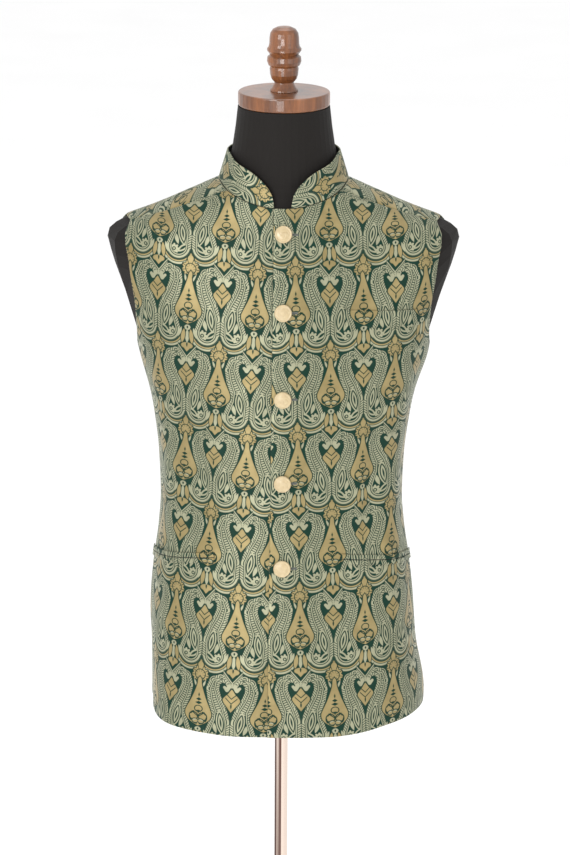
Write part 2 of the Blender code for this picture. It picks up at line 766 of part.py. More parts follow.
def add_buttons(left, collection, material):
    for number, height in enumerate(BUTTON_HEIGHTS, start=1):
        button = add_turned(f"button_{number}", BUTTON_PROFILE, BUTTON_STEPS, collection, material)
        row, column = grid_place(left, 0.0, height)
        seat = on_grid(left, row, column, CLOTH + LAYER_GAP + BUTTON_SPARE)
        normal = Vector(grid_normal(left, row, column))
        normal.x = 0.0
        turn = normal.to_track_quat("Z", "Y").to_matrix().to_4x4()
        button.matrix_world = Matrix.Translation(Vector(seat)) @ turn


def add_form(collection, black, wood, steel):
    """The torso with its neck, closed below, and what stands on and under it."""
    heights = [FORM_BOTTOM]
    heights += list(np.linspace(FORM_BOTTOM + FORM_EDGE, FORM_CHEST, FORM_LOW_ROWS))
    heights += [row[0] for row in SECTIONS if FORM_CHEST < row[0] < NECK_TOP]
    heights += [NECK_TOP]
    rows = []
    for height in heights:
        section = BODY.at(height)
        edge = FORM_EDGE_DEPTH if height == FORM_BOTTOM else 0.0
        ring = []
        for column in range(FORM_COLUMNS):
            azimuth = 360 * column / FORM_COLUMNS
            ring.append(surface_point(azimuth, height, section["ease"] + edge, folds=False))
        rows.append(ring)
    points = [point for ring in rows for point in ring]
    faces = []
    for row in range(len(rows) - 1):
        for column in range(FORM_COLUMNS):
            a = row * FORM_COLUMNS + column
            b = row * FORM_COLUMNS + (column + 1) % FORM_COLUMNS
            faces.append((a, b, b + FORM_COLUMNS, a + FORM_COLUMNS))
    faces.append(tuple(range(FORM_COLUMNS))[::-1])
    last = (len(rows) - 1) * FORM_COLUMNS
    faces.append(tuple(range(last, last + FORM_COLUMNS)))
    add_object("form_body", points, faces, collection, black)
    add_turned("neck_cap", CAP_PROFILE, CAP_STEPS, collection, wood)
    add_turned("finial", FINIAL_PROFILE, FINIAL_STEPS, collection, wood)
    top = FORM_BOTTOM - POLE_SPARE
    foot = FOOT_PROFILE[0][1] + POLE_SPARE
    pole = ((0.0, top), (POLE_RADIUS, top), (POLE_RADIUS, foot), (0.0, foot))
    add_turned("pole", pole, POLE_STEPS, collection, steel)
    add_turned("base", FOOT_PROFILE, FOOT_STEPS, collection, steel)


def main():
    clear_scene()
    collection = bpy.data.collections.new(NAME)
    bpy.context.scene.collection.children.link(collection)
    cloth = make_material("green_and_gold_brocade", (0.16, 0.19, 0.11), 0.55)
    black = make_material("black_form_cover", (0.012, 0.011, 0.010), 0.7)
    wood = make_material("turned_wood", (0.24, 0.10, 0.045), 0.3)
    steel = make_material("chromed_steel", (0.75, 0.75, 0.75), 0.12, 1.0)
    cream = make_material("cream_button", (0.80, 0.72, 0.50), 0.35)
    left, right = add_fronts(collection, cloth)
    halves = add_back(collection, cloth)
    add_collar(left, right, halves, collection, cloth)
    add_pockets(left, right, collection, cloth)
    add_buttons(left, collection, cream)
    add_form(collection, black, wood, steel)


main()
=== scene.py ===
"""The looks of a nehru jacket on its dress form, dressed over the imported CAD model.

Metres, +Z up. The wearer faces -Y, so the wearer's left is at +X.
Every cloth panel is a fine grid on one body surface, which SECTIONS, FOLDS and CREASES
describe, and its UV map "cloth" gives each place on the uncut cloth in metres.
"""
import math

import bpy
import numpy as np
from mathutils import Matrix, Vector

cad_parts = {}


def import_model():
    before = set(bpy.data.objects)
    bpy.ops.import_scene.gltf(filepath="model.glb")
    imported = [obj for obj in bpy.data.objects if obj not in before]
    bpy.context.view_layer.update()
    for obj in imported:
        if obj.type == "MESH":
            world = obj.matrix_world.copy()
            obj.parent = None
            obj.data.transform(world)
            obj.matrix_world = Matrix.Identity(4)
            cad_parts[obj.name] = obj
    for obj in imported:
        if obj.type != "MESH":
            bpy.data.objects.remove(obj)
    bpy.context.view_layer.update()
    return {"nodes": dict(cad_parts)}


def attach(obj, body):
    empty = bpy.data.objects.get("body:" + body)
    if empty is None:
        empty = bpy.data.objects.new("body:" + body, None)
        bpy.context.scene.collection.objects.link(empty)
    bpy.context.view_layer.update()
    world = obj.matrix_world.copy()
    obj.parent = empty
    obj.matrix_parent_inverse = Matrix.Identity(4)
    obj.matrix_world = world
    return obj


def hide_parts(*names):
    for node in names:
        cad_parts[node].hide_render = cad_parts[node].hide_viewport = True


# Cloth
CLOTH = 0.0016            # thickness of the jacket's cloth
COLLAR_CLOTH = 0.0020     # the band collar is stiffened, so it is a little thicker
SEAM_GAP = 0.0004         # space between two panels at a seam
LAYER_GAP = 0.00035       # space between a panel and what lies on it

# Body surface, a row for each level: height, half width, depth in front of and behind the pole,
# roundness of the outline (2 is an ellipse), and how far the form lies inside the cloth
SECTION_COLUMNS = ("height", "half", "front", "back", "power", "ease")
SECTIONS = (
    (0.700, 0.1800, 0.1330, 0.1300, 2.80, 0.0140),
    (0.735, 0.1800, 0.1325, 0.1285, 2.80, 0.0140),
    (0.780, 0.1800, 0.1310, 0.1270, 2.75, 0.0140),
    (0.850, 0.1785, 0.1275, 0.1235, 2.60, 0.0135),
    (0.900, 0.1765, 0.1245, 0.1200, 2.50, 0.0125),
    (0.950, 0.1720, 0.1205, 0.1165, 2.42, 0.0115),
    (1.000, 0.1660, 0.1175, 0.1140, 2.35, 0.0105),
    (1.040, 0.1632, 0.1165, 0.1130, 2.30, 0.0100),
    (1.100, 0.1652, 0.1180, 0.1135, 2.30, 0.0090),
    (1.160, 0.1718, 0.1210, 0.1160, 2.35, 0.0070),
    (1.210, 0.1812, 0.1240, 0.1190, 2.40, 0.0045),
    (1.255, 0.1930, 0.1250, 0.1215, 2.40, 0.0022),
    (1.290, 0.2030, 0.1235, 0.1225, 2.40, 0.0018),
    (1.320, 0.2125, 0.1205, 0.1220, 2.37, 0.0018),
    (1.350, 0.2235, 0.1150, 0.1200, 2.32, 0.0020),
    (1.376, 0.2320, 0.1080, 0.1160, 2.22, 0.0026),
    (1.395, 0.2372, 0.1020, 0.1110, 2.12, 0.0031),
    (1.4060, 0.2350, 0.0984, 0.1075, 2.04, 0.0037),
    (1.4140, 0.2260, 0.0955, 0.1045, 1.96, 0.0038),
    (1.4215, 0.2090, 0.0928, 0.1010, 1.90, 0.0036),
    (1.4300, 0.1860, 0.0898, 0.0975, 1.85, 0.0031),
    (1.4400, 0.1610, 0.0865, 0.0935, 1.82, 0.0031),
    (1.4505, 0.1370, 0.0828, 0.0890, 1.84, 0.0036),
    (1.4615, 0.1110, 0.0785, 0.0840, 1.90, 0.0043),
    (1.4740, 0.0850, 0.0735, 0.0780, 1.98, 0.0040),
    (1.4890, 0.0755, 0.0695, 0.0735, 2.00, 0.0018),
    (1.5170, 0.0692, 0.0660, 0.0685, 2.00, 0.0012),
    (1.5450, 0.0650, 0.0635, 0.0640, 2.00, 0.0012),
    (1.5720, 0.0620, 0.0615, 0.0615, 2.00, 0.0012),
)

# Soft folds of the worn cloth, a row for each: direction from the front in degrees (positive on
# the wearer's left), height of its middle, half spread in degrees and in metres, and rise
FOLDS = (
    (67, 1.085, 7.0, 0.150, 0.0038),
    (-68, 1.070, 7.0, 0.140, 0.0030),
    (54, 1.080, 7.0, 0.130, -0.0022),
    (-52, 1.090, 8.0, 0.120, -0.0018),
    (92, 1.070, 17.0, 0.130, -0.0030),
    (84, 1.236, 9.0, 0.030, 0.0044),
    (-85, 1.230, 9.0, 0.030, 0.0020),
    (87, 0.762, 17.0, 0.060, 0.0140),
    (-84, 0.770, 15.0, 0.080, -0.0055),
    (-58, 0.735, 10.0, 0.050, 0.0040),
    (54, 0.735, 9.0, 0.060, -0.0040),
    (27, 0.750, 11.0, 0.080, 0.0026),
    (-27, 0.780, 11.0, 0.090, 0.0022),
    (146, 1.060, 8.0, 0.150, 0.0034),
    (-149, 1.080, 8.0, 0.140, 0.0028),
    (165, 0.940, 8.0, 0.150, -0.0018),
    (-163, 0.930, 8.0, 0.160, -0.0022),
    (128, 0.760, 12.0, 0.070, 0.0040),
    (-133, 0.765, 12.0, 0.080, 0.0034),
    (122, 1.215, 8.0, 0.045, 0.0026),
    (-124, 1.210, 8.0, 0.045, 0.0022),
)

# Jacket outline
HEM_FRONT = 0.7345        # height of the hem at the middle of the front
HEM_SIDE_RISE = 0.013     # how much higher the hem is at the side seams
VENT_TOP = 0.812          # the side vents open from here down
VENT_ANGLE = 3.4          # how far a vent's edge swings away at the hem, in degrees
UNDERARM = 1.250          # height of the side seam's top
ARMHOLE_MIDDLE = 1.336    # height of the armhole's widest level
ARMHOLE_SWING = 17.0      # how far the armhole reaches in front of the side, in degrees
ARMHOLE_BACK_SWING = 15.5
ARMHOLE_FULLNESS = 0.55   # under 1 squares the armhole's upper half
SHOULDER_END = 80         # where the shoulder seam meets the armhole's oval, in degrees
SEAM_NECK_AZIMUTH = 55.0  # where the forward shoulder seam meets the neckline
NECK_FRONT = 1.4500       # height of the neckline in front, at the sides and behind
NECK_SIDE = 1.4735
NECK_BACK = 1.4800
NECK_FRONT_TURN = 6       # the neckline is level in front up to this direction, in degrees
NECK_SIDE_TURN = 84       # and has its side height here
SEAM_CURVE = (0.62, 1.15) # how the shoulder seam bends, in direction and in height
SEAM_SET_BACK = 0.75      # each panel stands back from the shoulder seam by this share of SEAM_GAP
VENT_CURVE = 1.3          # how a vent's edge bends
VENT_BACK = 0.35          # how far its back edge swings, as a share of the front one
LAP_EDGE_TOP = -0.0125    # the overlapping edge, from the middle, at the neckline
LAP_EDGE_HEM = -0.0190    # and at the hem
UNDERLAP_EDGE = 0.0120    # the covered front reaches this far past the middle
LAP_FULL = 0.0160         # the overlap lies on the covered front up to here
LAP_END = 0.0560          # and has come down to the body surface here

# Panel grids
LOW_ROWS = 90             # rows from the hem to the underarm
NECK_ROW = 30             # rows from the underarm's level to the neckline
HIGH_ROWS = 70            # rows from the underarm to the shoulder seam
BACK_NECK_ROW = 25        # rows of the back from the underarm's level to the neckline
COLUMNS = 65              # columns from the middle to the side
NECK_STEPS = 200          # points of a front's neckline before it is spaced evenly,
BACK_NECK_STEPS = 300     # of the back's neckline,
HOLE_STEPS = 400          # and of an armhole
PROBE_TURN = 0.4          # steps along the surface that give its direction, in degrees
PROBE_RISE = 0.001        # and in metres
EDGE_ANGLES = (45, 90, 135)   # points round a rolled edge, in degrees from the outer face

# Collar
COLLAR_HEIGHT = 0.0400
COLLAR_LEAN = 0.0115      # how far its top leans towards the neck at the sides
COLLAR_FRONT_LEAN = 0.0070
COLLAR_BACK_LEAN = 0.0030
COLLAR_CORNER = 0.0490    # length along the collar of its rounded front corners
COLLAR_CORNER_DROP = 0.0365   # and how much lower the collar is at its ends
COLLAR_END_RIGHT = -0.0125
COLLAR_END_LEFT = 0.0105
COLLAR_SEAT = 0.0004      # space between the collar's foot and the panels' edge
COLLAR_ROWS = 16

# Pockets: distances along the cloth from the middle, and heights of the pocket line
HIP_POCKET_START = 0.079
HIP_POCKET_END = 0.222
HIP_POCKET_INNER_HEIGHT = 0.9800
HIP_POCKET_OUTER_HEIGHT = 0.9600
JET_WIDTH = 0.0065
JET_SLIT = 0.0008
WELT_START = 0.078
WELT_END = 0.184
WELT_INNER_HEIGHT = 1.3235
WELT_OUTER_HEIGHT = 1.3160
WELT_WIDTH = 0.0225
TRIM_CLOTH = 0.0014
TRIM_GAP = 0.0008         # space between a panel and the jets and welt on it
MOUTH_WIDTH = 0.004       # the dark mouth between two jets, a dark strip that paints the shade of the pocket's opening
MOUTH_CLOTH = 0.0003
MOUTH_GAP = 0.0003        # space between a panel and the mouth on it
JET_LINES = 7             # lines of points along a jet, a welt and a mouth
WELT_LINES = 12
MOUTH_LINES = 3

# Buttons
BUTTON_HEIGHTS = (1.4185, 1.3200, 1.2040, 1.0872, 0.9695)
BUTTON_PROFILE = (        # radius and height of the outline, from the crown down to the back
    (0.0000, 0.0056),
    (0.0045, 0.0053),
    (0.0082, 0.0042),
    (0.0092, 0.0041),
    (0.0104, 0.0046),
    (0.0115, 0.0036),
    (0.0115, 0.0022),
    (0.0095, 0.0000),
    (0.0000, 0.0000),
)
BUTTON_RIM = 4            # the rim's crest, as a row of BUTTON_PROFILE
BUTTON_EDGE = 5           # and the face's outer edge

# Small spaces
LAP_SPARE = 0.0002        # spare space under the overlapping front
BUTTON_SEAT = 0.0003      # spare space under a button

# Run of the cloth's threads
GRAIN_LEVEL = 1.360       # above this the upright threads run over the shoulder
GRAIN_BLEND = 0.02        # height over which they come to do so
GRAIN_TURN = 72           # the line at GRAIN_LEVEL is measured up to here, in degrees
LEVEL_POINTS = 41         # points along a level line that is measured

# Creases placed on the worn cloth, a row for each: direction and height of the start,
# direction and height of the end, half width in metres, and rise (a trough is negative)
CREASES = (
    (62, 0.860, 58, 1.220, 0.0110, 0.0018),
    (49, 0.980, 55, 1.165, 0.0120, -0.0014),
    (-63, 0.880, -59, 1.150, 0.0110, 0.0015),
    (-45, 1.020, -52, 1.170, 0.0130, -0.0012),
    (73, 1.214, 50, 1.272, 0.0120, 0.0022),
    (-72, 1.204, -53, 1.258, 0.0115, 0.0016),
    (9, 1.074, 27, 1.094, 0.0090, -0.0009),
    (-10, 1.060, -25, 1.086, 0.0100, -0.0008),
    (8, 0.961, 21, 0.943, 0.0095, -0.0008),
    (30, 0.950, 38, 0.842, 0.0130, 0.0010),
    (-33, 0.940, -39, 0.822, 0.0140, 0.0012),
    (14, 0.742, 12, 0.832, 0.0140, 0.0012),
    (-13, 0.745, -16, 0.862, 0.0130, 0.0010),
    (41, 0.742, 45, 0.848, 0.0150, -0.0014),
    (-47, 0.742, -43, 0.836, 0.0140, 0.0013),
    (84, 0.830, 81, 1.010, 0.0120, 0.0014),
    (98, 0.900, 101, 1.120, 0.0130, -0.0013),
    (-86, 0.850, -84, 0.985, 0.0125, 0.0013),
    (-102, 0.925, -98, 1.095, 0.0130, -0.0011),
    (118, 0.900, 125, 1.140, 0.0130, 0.0015),
    (-123, 0.930, -117, 1.165, 0.0120, 0.0013),
    (153, 1.020, 137, 1.098, 0.0110, -0.0012),
    (-151, 1.008, -139, 1.082, 0.0120, -0.0010),
    (172, 0.758, 169, 0.925, 0.0150, 0.0012),
    (-167, 0.752, -171, 0.896, 0.0150, -0.0011),
    (175, 1.236, 159, 1.256, 0.0120, 0.0010),
    (-173, 1.246, -157, 1.263, 0.0115, 0.0009),
)
METRES_PER_DEGREE = 0.0029    # length that a degree of turn is taken as
CREASE_FADE = 0.35        # share of its length over which a crease comes in at each end
CREASE_START = 0.3        # and how far it has come in at the very end

# Where each panel lies under the pattern: lean in degrees, and moves across and up
PATTERN_PLACES = {
    "front_left": (-1.0, 0.0047, -1.5017),
    "front_right": (3.2, -0.0235, -1.4935),
    "back": (0.0, 0.0, -1.5017),
    "collar": (90.0, 0.018, 0.0),
}

# Columns of small pieces
COLLAR_COLUMNS = 160
STRIP_COLUMNS = 60

# Button faces
BUTTON_DOME = 0.0082      # radius of the domed middle
BUTTON_CARVING = 0.00028  # depth of the carved swirl
SWIRL_ARMS = 3
SWIRL_TWIST = 7.0         # how far an arm turns from the middle to the dome's edge, in radians
SWIRL_STEEPNESS = 2.5     # how steep an arm's sides are
SWIRL_FADES = (5, 6)      # how fast the swirl comes in from the middle and from the edge
BUTTON_AROUND = 96        # points round a button
BUTTON_PIN = 0.0002       # radius of the innermost ring of points
BUTTON_RINGS = (16, 6, 4) # rings of points on the dome, in the groove and on the rim

# Buttonholes
HOLE_START = 0.0040       # a buttonhole's ends, from the middle along the cloth
HOLE_END = 0.0195
HOLE_LIP = 0.0014         # width of the thread on each side of the slit
HOLE_BEND = 0.62          # radius of the thread's turn at an end, as a share of HOLE_LIP
HOLE_RISE = 0.0006        # height of the thread
HOLE_DIP = 0.28           # how far it dips between two turns of thread, as a share of its height
THREAD_PITCH = 0.0006
THREAD_STEPS = 6          # points along each turn of thread
LIP_POINTS = 7            # points across the thread
SLIT_RISE = 0.0001        # height of the dark slit, a dark sheet that paints the shade in the cut

# Brocade weave
WEFT_PITCH = 0.0007
WARP_PITCH = 0.0005
GROUND_DARK = (0.0008, 0.0120, 0.0070)
GROUND_LIGHT = (0.0045, 0.0420, 0.0250)
TAN_DARK = (0.215, 0.165, 0.068)
TAN_LIGHT = (0.370, 0.296, 0.140)
PALE_DARK = (0.235, 0.235, 0.150)
PALE_LIGHT = (0.400, 0.400, 0.270)
GROUND_ROUGHNESS = 0.66
FLOAT_ROUGHNESS = 0.34
FLOAT_METALLIC = 0.45

# Other finishes
LINING_DARK = (0.006, 0.010, 0.009)
LINING_LIGHT = (0.018, 0.026, 0.023)
COVER_DARK = (0.0035, 0.0026, 0.0020)
COVER_LIGHT = (0.0100, 0.0078, 0.0064)
WOOD_DARK = (0.030, 0.008, 0.003)
WOOD_LIGHT = (0.250, 0.088, 0.027)
# The pole's colours, from dark streaks to a pale pinkish tone, are painted reflections.
POLE_DARK_REFLECTION = (0.085, 0.040, 0.032)
POLE_PALE_REFLECTION = (0.70, 0.58, 0.50)
FOOT_DARK = (0.52, 0.47, 0.44)
FOOT_PALE = (0.60, 0.55, 0.51)
BUTTON_DARK = (0.36, 0.27, 0.14)
BUTTON_LIGHT = (0.56, 0.45, 0.27)
THREAD_DARK = (0.05, 0.055, 0.05)
THREAD_LIGHT = (0.16, 0.17, 0.15)

# Camera, floor and lights
PHOTO_HEIGHT = 855
CAMERA_TARGET = (0.0, 0.0, 1.13)
CAMERA_DISTANCE = 5.2
CAMERA_RISE = 15.8        # how far the camera looks down, in degrees
CAMERA_ROLL = 0.25        # how far it leans to the side, in degrees
CAMERA_FOCAL_PIXELS = 3851.9    # CAMERA_DISTANCE at 1.35 mm a pixel of the photo
CAMERA_SHIFT = 0.0028
SENSOR_WIDTH = 36.0       # in millimetres
CLIP = (0.1, 200.0)
FLOOR_RADIUS = 60.0
WORLD_STRENGTH = 1.04
DOORWAY_LEAN = 0.25       # a dark doorway behind the camera, which the chrome reflects
DOORWAY_BRIGHTNESS = 0.10
DOORWAY_WIDE = 0.22       # its half width, its middle above the horizon and its half height,
DOORWAY_LEVEL = 0.12      # all as parts of a direction of length 1
DOORWAY_TALL = 0.14
LIGHTS = (                # name, place, aim, size, power
    ("key_light", (-1.9, -2.9, 2.6), (0.0, 0.0, 1.1), (1.0, 1.8), 52.0),
    ("band_light", (-0.85, -3.7, 1.15), (0.0, 0.0, 1.1), (0.42, 1.9), 40.0),
    ("fill_light", (2.8, -2.6, 2.0), (0.0, 0.0, 1.1), (1.8, 2.2), 18.0),
    ("top_light", (0.0, 0.6, 4.2), (0.0, 0.0, 1.2), (2.4, 2.4), 30.0),
)

# The brocade's repeat, in metres, and the unit that the motif tables below are written in
REPEAT_WIDTH = 0.0890
REPEAT_HEIGHT = 0.1106
MOTIF_SPAN = 66.25        # the repeat's width in that unit
MOTIF_UNIT = REPEAT_WIDTH / MOTIF_SPAN
TALL = 1.04               # motif heights are this much taller than their table values
HALF = MOTIF_SPAN / 2
DROP = REPEAT_HEIGHT / MOTIF_UNIT
CURVE_TOP = 40.0          # no half width is larger than this

# The boteh's middle line from the curl at its tip to its round foot: across, down, half width
BOTEH = (
    (25.6, 22.6, 1.5),
    (28.2, 25.2, 2.0),
    (30.4, 21.5, 2.1),
    (27.6, 16.2, 2.7),
    (21.3, 14.3, 4.2),
    (15.4, 18.0, 5.7),
    (13.4, 26.0, 6.6),
    (16.2, 36.0, 7.3),
    (21.2, 46.5, 8.1),
    (22.6, 58.0, 10.6),
    (20.0, 72.0, 12.8),
)


def smooth(value):
    """A soft step from 0 to 1."""
    t = np.clip(value, 0.0, 1.0)
    return t * t * (3 - 2 * t)


def mix(a, b, t):
    """What lies between a and b, at a share t of the way."""
    return a + (b - a) * t


class Sections:
    """The body's level outlines, read at any heights."""

    def __init__(self, rows, names):
        self.names = names
        self.rows = np.array(rows, dtype=float)
        gaps = np.diff(self.rows, axis=0)
        slopes = gaps / gaps[:, :1]
        inner = np.where(slopes[1:] * slopes[:-1] > 0, 2 * slopes[1:] * slopes[:-1], 0)
        inner = inner / np.where(inner != 0, slopes[1:] + slopes[:-1], 1)
        self.slopes = np.vstack([slopes[:1], inner, slopes[-1:]])

    def at(self, height):
        heights = self.rows[:, 0]
        height = np.clip(height, heights[0], heights[-1])
        low = np.clip(np.searchsorted(heights, height, side="right") - 1, 0, len(heights) - 2)
        span = (heights[low + 1] - heights[low])[..., None]
        t = (height - heights[low])[..., None] / span
        a, b = self.rows[low], self.rows[low + 1]
        start, end = self.slopes[low] * span, self.slopes[low + 1] * span
        row = (
            a * (1 + 2 * t) * (1 - t) ** 2
            + start * t * (1 - t) ** 2
            + b * t * t * (3 - 2 * t)
            + end * t * t * (t - 1)
        )
        return {name: row[..., index] for index, name in enumerate(self.names)}


BODY = Sections(SECTIONS, SECTION_COLUMNS)


def section_radius(azimuth, height):
    """Distance from the pole to the plain outline, in directions from the front in degrees."""
    section = BODY.at(height)
    angle = np.radians(azimuth)
    across, along = np.abs(np.sin(angle)), np.cos(angle)
    depth = np.where(along > 0, section["front"], section["back"])
    power = section["power"]
    total = (across / section["half"]) ** power + (np.abs(along) / depth) ** power
    return total ** (-1 / power)


def fold_rise(azimuth, height):
    """How far the folds and creases lift the cloth off the plain surface."""
    rise = 0.0
    for middle, level, spread, reach, top in FOLDS:
        turn = (azimuth - middle + 180) % 360 - 180
        rise = rise + top * np.exp(-((turn / spread) ** 2) - ((height - level) / reach) ** 2)
    for start, low, end, high, width, top in CREASES:
        run = np.array((METRES_PER_DEGREE * (end - start), high - low))
        turn = METRES_PER_DEGREE * ((azimuth - start + 180) % 360 - 180)
        up = height - low
        share = (turn * run[0] + up * run[1]) / (run @ run)
        away = np.abs(turn * run[1] - up * run[0]) / np.linalg.norm(run)
        start_in = smooth(share / CREASE_FADE + CREASE_START)
        end_in = smooth((1 - share) / CREASE_FADE + CREASE_START)
        rise = rise + top * np.exp(-((away / width) ** 2)) * (start_in * end_in)
    return rise


def surface(azimuth, height, folds=True):
    """Points of the body surface, which is the cloth's inner face."""
    azimuth, height = np.broadcast_arrays(np.asarray(azimuth, float), np.asarray(height, float))
    radius = section_radius(azimuth, height)
    if folds:
        radius = radius + fold_rise(azimuth, height)
    angle = np.radians(azimuth)
    return np.stack([radius * np.sin(angle), -radius * np.cos(angle), height], axis=-1)


def outward(azimuth, height):
    """The surface's outward direction, from two short steps along it."""
    around = surface(azimuth + PROBE_TURN, height) - surface(azimuth - PROBE_TURN, height)
    upward = surface(azimuth, height + PROBE_RISE) - surface(azimuth, height - PROBE_RISE)
    normal = np.cross(around, upward)
    return normal / np.linalg.norm(normal, axis=-1, keepdims=True)


def azimuth_at_x(x, height):
    """The direction of the point in front whose distance from the middle is x."""
    azimuth = np.degrees(np.arctan2(x, BODY.at(height)["front"]))
    for _ in range(4):
        radius = section_radius(azimuth, height) + fold_rise(azimuth, height)
        azimuth = np.degrees(np.arcsin(x / radius))
    return azimuth


def neck_height(azimuth):
    """Height of the neckline round the neck."""
    turn = np.abs(azimuth)
    to_side = (turn - NECK_FRONT_TURN) / (NECK_SIDE_TURN - NECK_FRONT_TURN)
    to_back = (turn - NECK_SIDE_TURN) / (180 - NECK_SIDE_TURN)
    front = mix(NECK_FRONT, NECK_SIDE, smooth(to_side))
    back = mix(NECK_SIDE, NECK_BACK, smooth(to_back))
    return np.where(turn < 90, front, back)


def armhole(turn):
    """Points of the armhole's oval as directions and heights; turn is -90 at the underarm."""
    width, rise = np.cos(np.radians(turn)), np.sin(np.radians(turn))
    fullness = np.where(rise > 0, ARMHOLE_FULLNESS, 1.0)
    reach = np.where(width > 0, ARMHOLE_SWING, -ARMHOLE_BACK_SWING)
    swing = reach * np.abs(width) ** fullness
    return np.stack([90 - swing, ARMHOLE_MIDDLE + (ARMHOLE_MIDDLE - UNDERARM) * rise], axis=-1)


def shoulder_seam(amount):
    """The forward shoulder seam from the neckline to the armhole, moved round by a distance."""
    across = np.linspace(0, 1, COLUMNS + 1)
    start = np.array((SEAM_NECK_AZIMUTH, float(neck_height(SEAM_NECK_AZIMUTH))))
    end = armhole(np.array(float(SHOULDER_END)))
    azimuth = mix(start[0], end[0], across ** SEAM_CURVE[0])
    height = mix(start[1], end[1], across ** SEAM_CURVE[1])
    azimuth = azimuth + np.degrees(amount / section_radius(azimuth, height))
    return np.stack([azimuth, height], axis=-1)


def hem_height(azimuth):
    """Height of the hem, which rises a little towards the sides."""
    return HEM_FRONT + HEM_SIDE_RISE * np.abs(np.sin(np.radians(azimuth))) ** 4


def lap_lift(x):
    """The overlapping front rides this far out on the covered one."""
    return (CLOTH + LAYER_GAP + LAP_SPARE) * (1 - smooth((x - LAP_FULL) / (LAP_END - LAP_FULL)))


def low_heights(azimuth):
    """Heights of a panel's rows from the hem up to the underarm."""
    return np.linspace(hem_height(azimuth), UNDERARM, LOW_ROWS + 1)


def side_azimuth(height, front):
    """The side seam's edge of a front or a back, with the vent open below VENT_TOP."""
    gap = np.degrees(0.5 * SEAM_GAP / BODY.at(height)["half"])
    below = np.maximum(0.0, (VENT_TOP - height) / (VENT_TOP - HEM_FRONT))
    opening = VENT_ANGLE * below ** VENT_CURVE
    return 90 - gap - opening if front else 90 + gap + VENT_BACK * opening


def even_steps(azimuths, heights, count):
    """Points spaced evenly along a dense route of directions and heights."""
    places = surface(azimuths, heights, folds=False)
    lengths = run_lengths(places)
    wanted = np.linspace(0, lengths[-1], count + 1)
    return np.stack(
        [np.interp(wanted, lengths, azimuths), np.interp(wanted, lengths, heights)], axis=-1
    )


def run_lengths(places):
    """Distance along a line of points, from its start to each of them."""
    steps = np.linalg.norm(np.diff(places, axis=0), axis=-1)
    return np.concatenate([[0], np.cumsum(steps)])


def middle_heights(azimuth, neck, neck_row):
    """Heights of a panel's rows at its middle, from the hem up to the neckline."""
    upper = np.linspace(UNDERARM, neck, neck_row + 1)[1:]
    return np.concatenate([low_heights(azimuth), upper])


def inner_border(azimuths, heights, neck_row, steps):
    """A panel's middle edge and its neckline, as directions and heights, row by row."""
    turns = np.linspace(azimuths[-1], SEAM_NECK_AZIMUTH, steps)
    neckline = even_steps(turns, neck_height(turns), HIGH_ROWS - neck_row)
    return np.vstack([np.stack([azimuths, heights], axis=-1), neckline[1:]])


def outer_border(front):
    """A panel's side seam and its armhole, as directions and heights, row by row."""
    heights = low_heights(90.0)
    seam = np.stack([side_azimuth(heights, front), heights], axis=-1)
    hole = armhole(np.linspace(-90 if front else 270, SHOULDER_END, HOLE_STEPS))
    hole = even_steps(hole[:, 0], hole[:, 1], HIGH_ROWS)
    return np.vstack([seam, hole[1:]])


def front_borders(side):
    """The inner and outer borders of a front."""
    heights = middle_heights(0.0, NECK_FRONT, NECK_ROW)
    if side > 0:
        lap = (heights - HEM_FRONT) / (NECK_FRONT - HEM_FRONT)
        edge = mix(LAP_EDGE_HEM, LAP_EDGE_TOP, lap)
    else:
        edge = np.full(len(heights), -UNDERLAP_EDGE)
    azimuths = side * azimuth_at_x(edge, heights)
    return inner_border(azimuths, heights, NECK_ROW, NECK_STEPS), outer_border(True)


def back_borders():
    """The borders of half of the back, from its middle to the side."""
    heights = middle_heights(180.0, NECK_BACK, BACK_NECK_ROW)
    azimuths = np.full(len(heights), 180.0)
    return inner_border(azimuths, heights, BACK_NECK_ROW, BACK_NECK_STEPS), outer_border(False)


def patch(inner, outer, top):
    """Fills the four borders of a panel with a grid of directions and heights."""
    inner, outer = inner.copy(), outer.copy()
    inner[-1], outer[-1] = top[0], top[-1]
    azimuths = np.linspace(inner[0][0], outer[0][0], COLUMNS + 1)
    bottom = np.stack([azimuths, hem_height(azimuths)], axis=-1)
    bottom[0], bottom[-1] = inner[0], outer[0]
    up = np.linspace(0, 1, len(inner))[:, None, None]
    over = np.linspace(0, 1, COLUMNS + 1)[None, :, None]
    sides = mix(inner[:, None], outer[:, None], over)
    ends = mix(bottom[None], top[None], up)
    corners = mix(mix(inner[0], outer[0], over), mix(inner[-1], outer[-1], over), up)
    return sides + ends - corners


def grid_normals(points):
    """Outward direction at each point of a grid."""
    around = np.gradient(points, axis=1)
    upward = np.gradient(points, axis=0)
    normals = np.cross(around, upward)
    normals = normals / np.linalg.norm(normals, axis=-1, keepdims=True)
    radial = points * np.array((1.0, 1.0, 0.0))
    flip = np.sign(np.sum(np.sum(normals * radial, axis=-1)))
    return normals * flip


def cloth_across(azimuth, height, x, middle):
    """Distance from a panel's middle along the cloth; middle is 0 for a front, 180 for the back."""
    shares = np.linspace(0, 1, LEVEL_POINTS)
    turns = middle + (azimuth - middle)[..., None] * shares
    ring = surface(turns, np.minimum(height, GRAIN_LEVEL)[..., None], folds=False)
    level = np.sum(np.linalg.norm(np.diff(ring, axis=-2), axis=-1), axis=-1)
    turns = np.linspace(0, GRAIN_TURN, GRAIN_TURN + 1)
    ring = surface(np.abs(middle - turns), GRAIN_LEVEL, folds=False)
    known_x, known = np.abs(ring[:, 0]), run_lengths(ring)
    slope = (known[-1] - known[-2]) / (known_x[-1] - known_x[-2])
    past = np.maximum(np.abs(x) - known_x[-1], 0.0)
    upper = np.interp(np.abs(x), known_x, known) + past * slope
    return mix(level, upper, smooth((height - GRAIN_LEVEL) / GRAIN_BLEND))


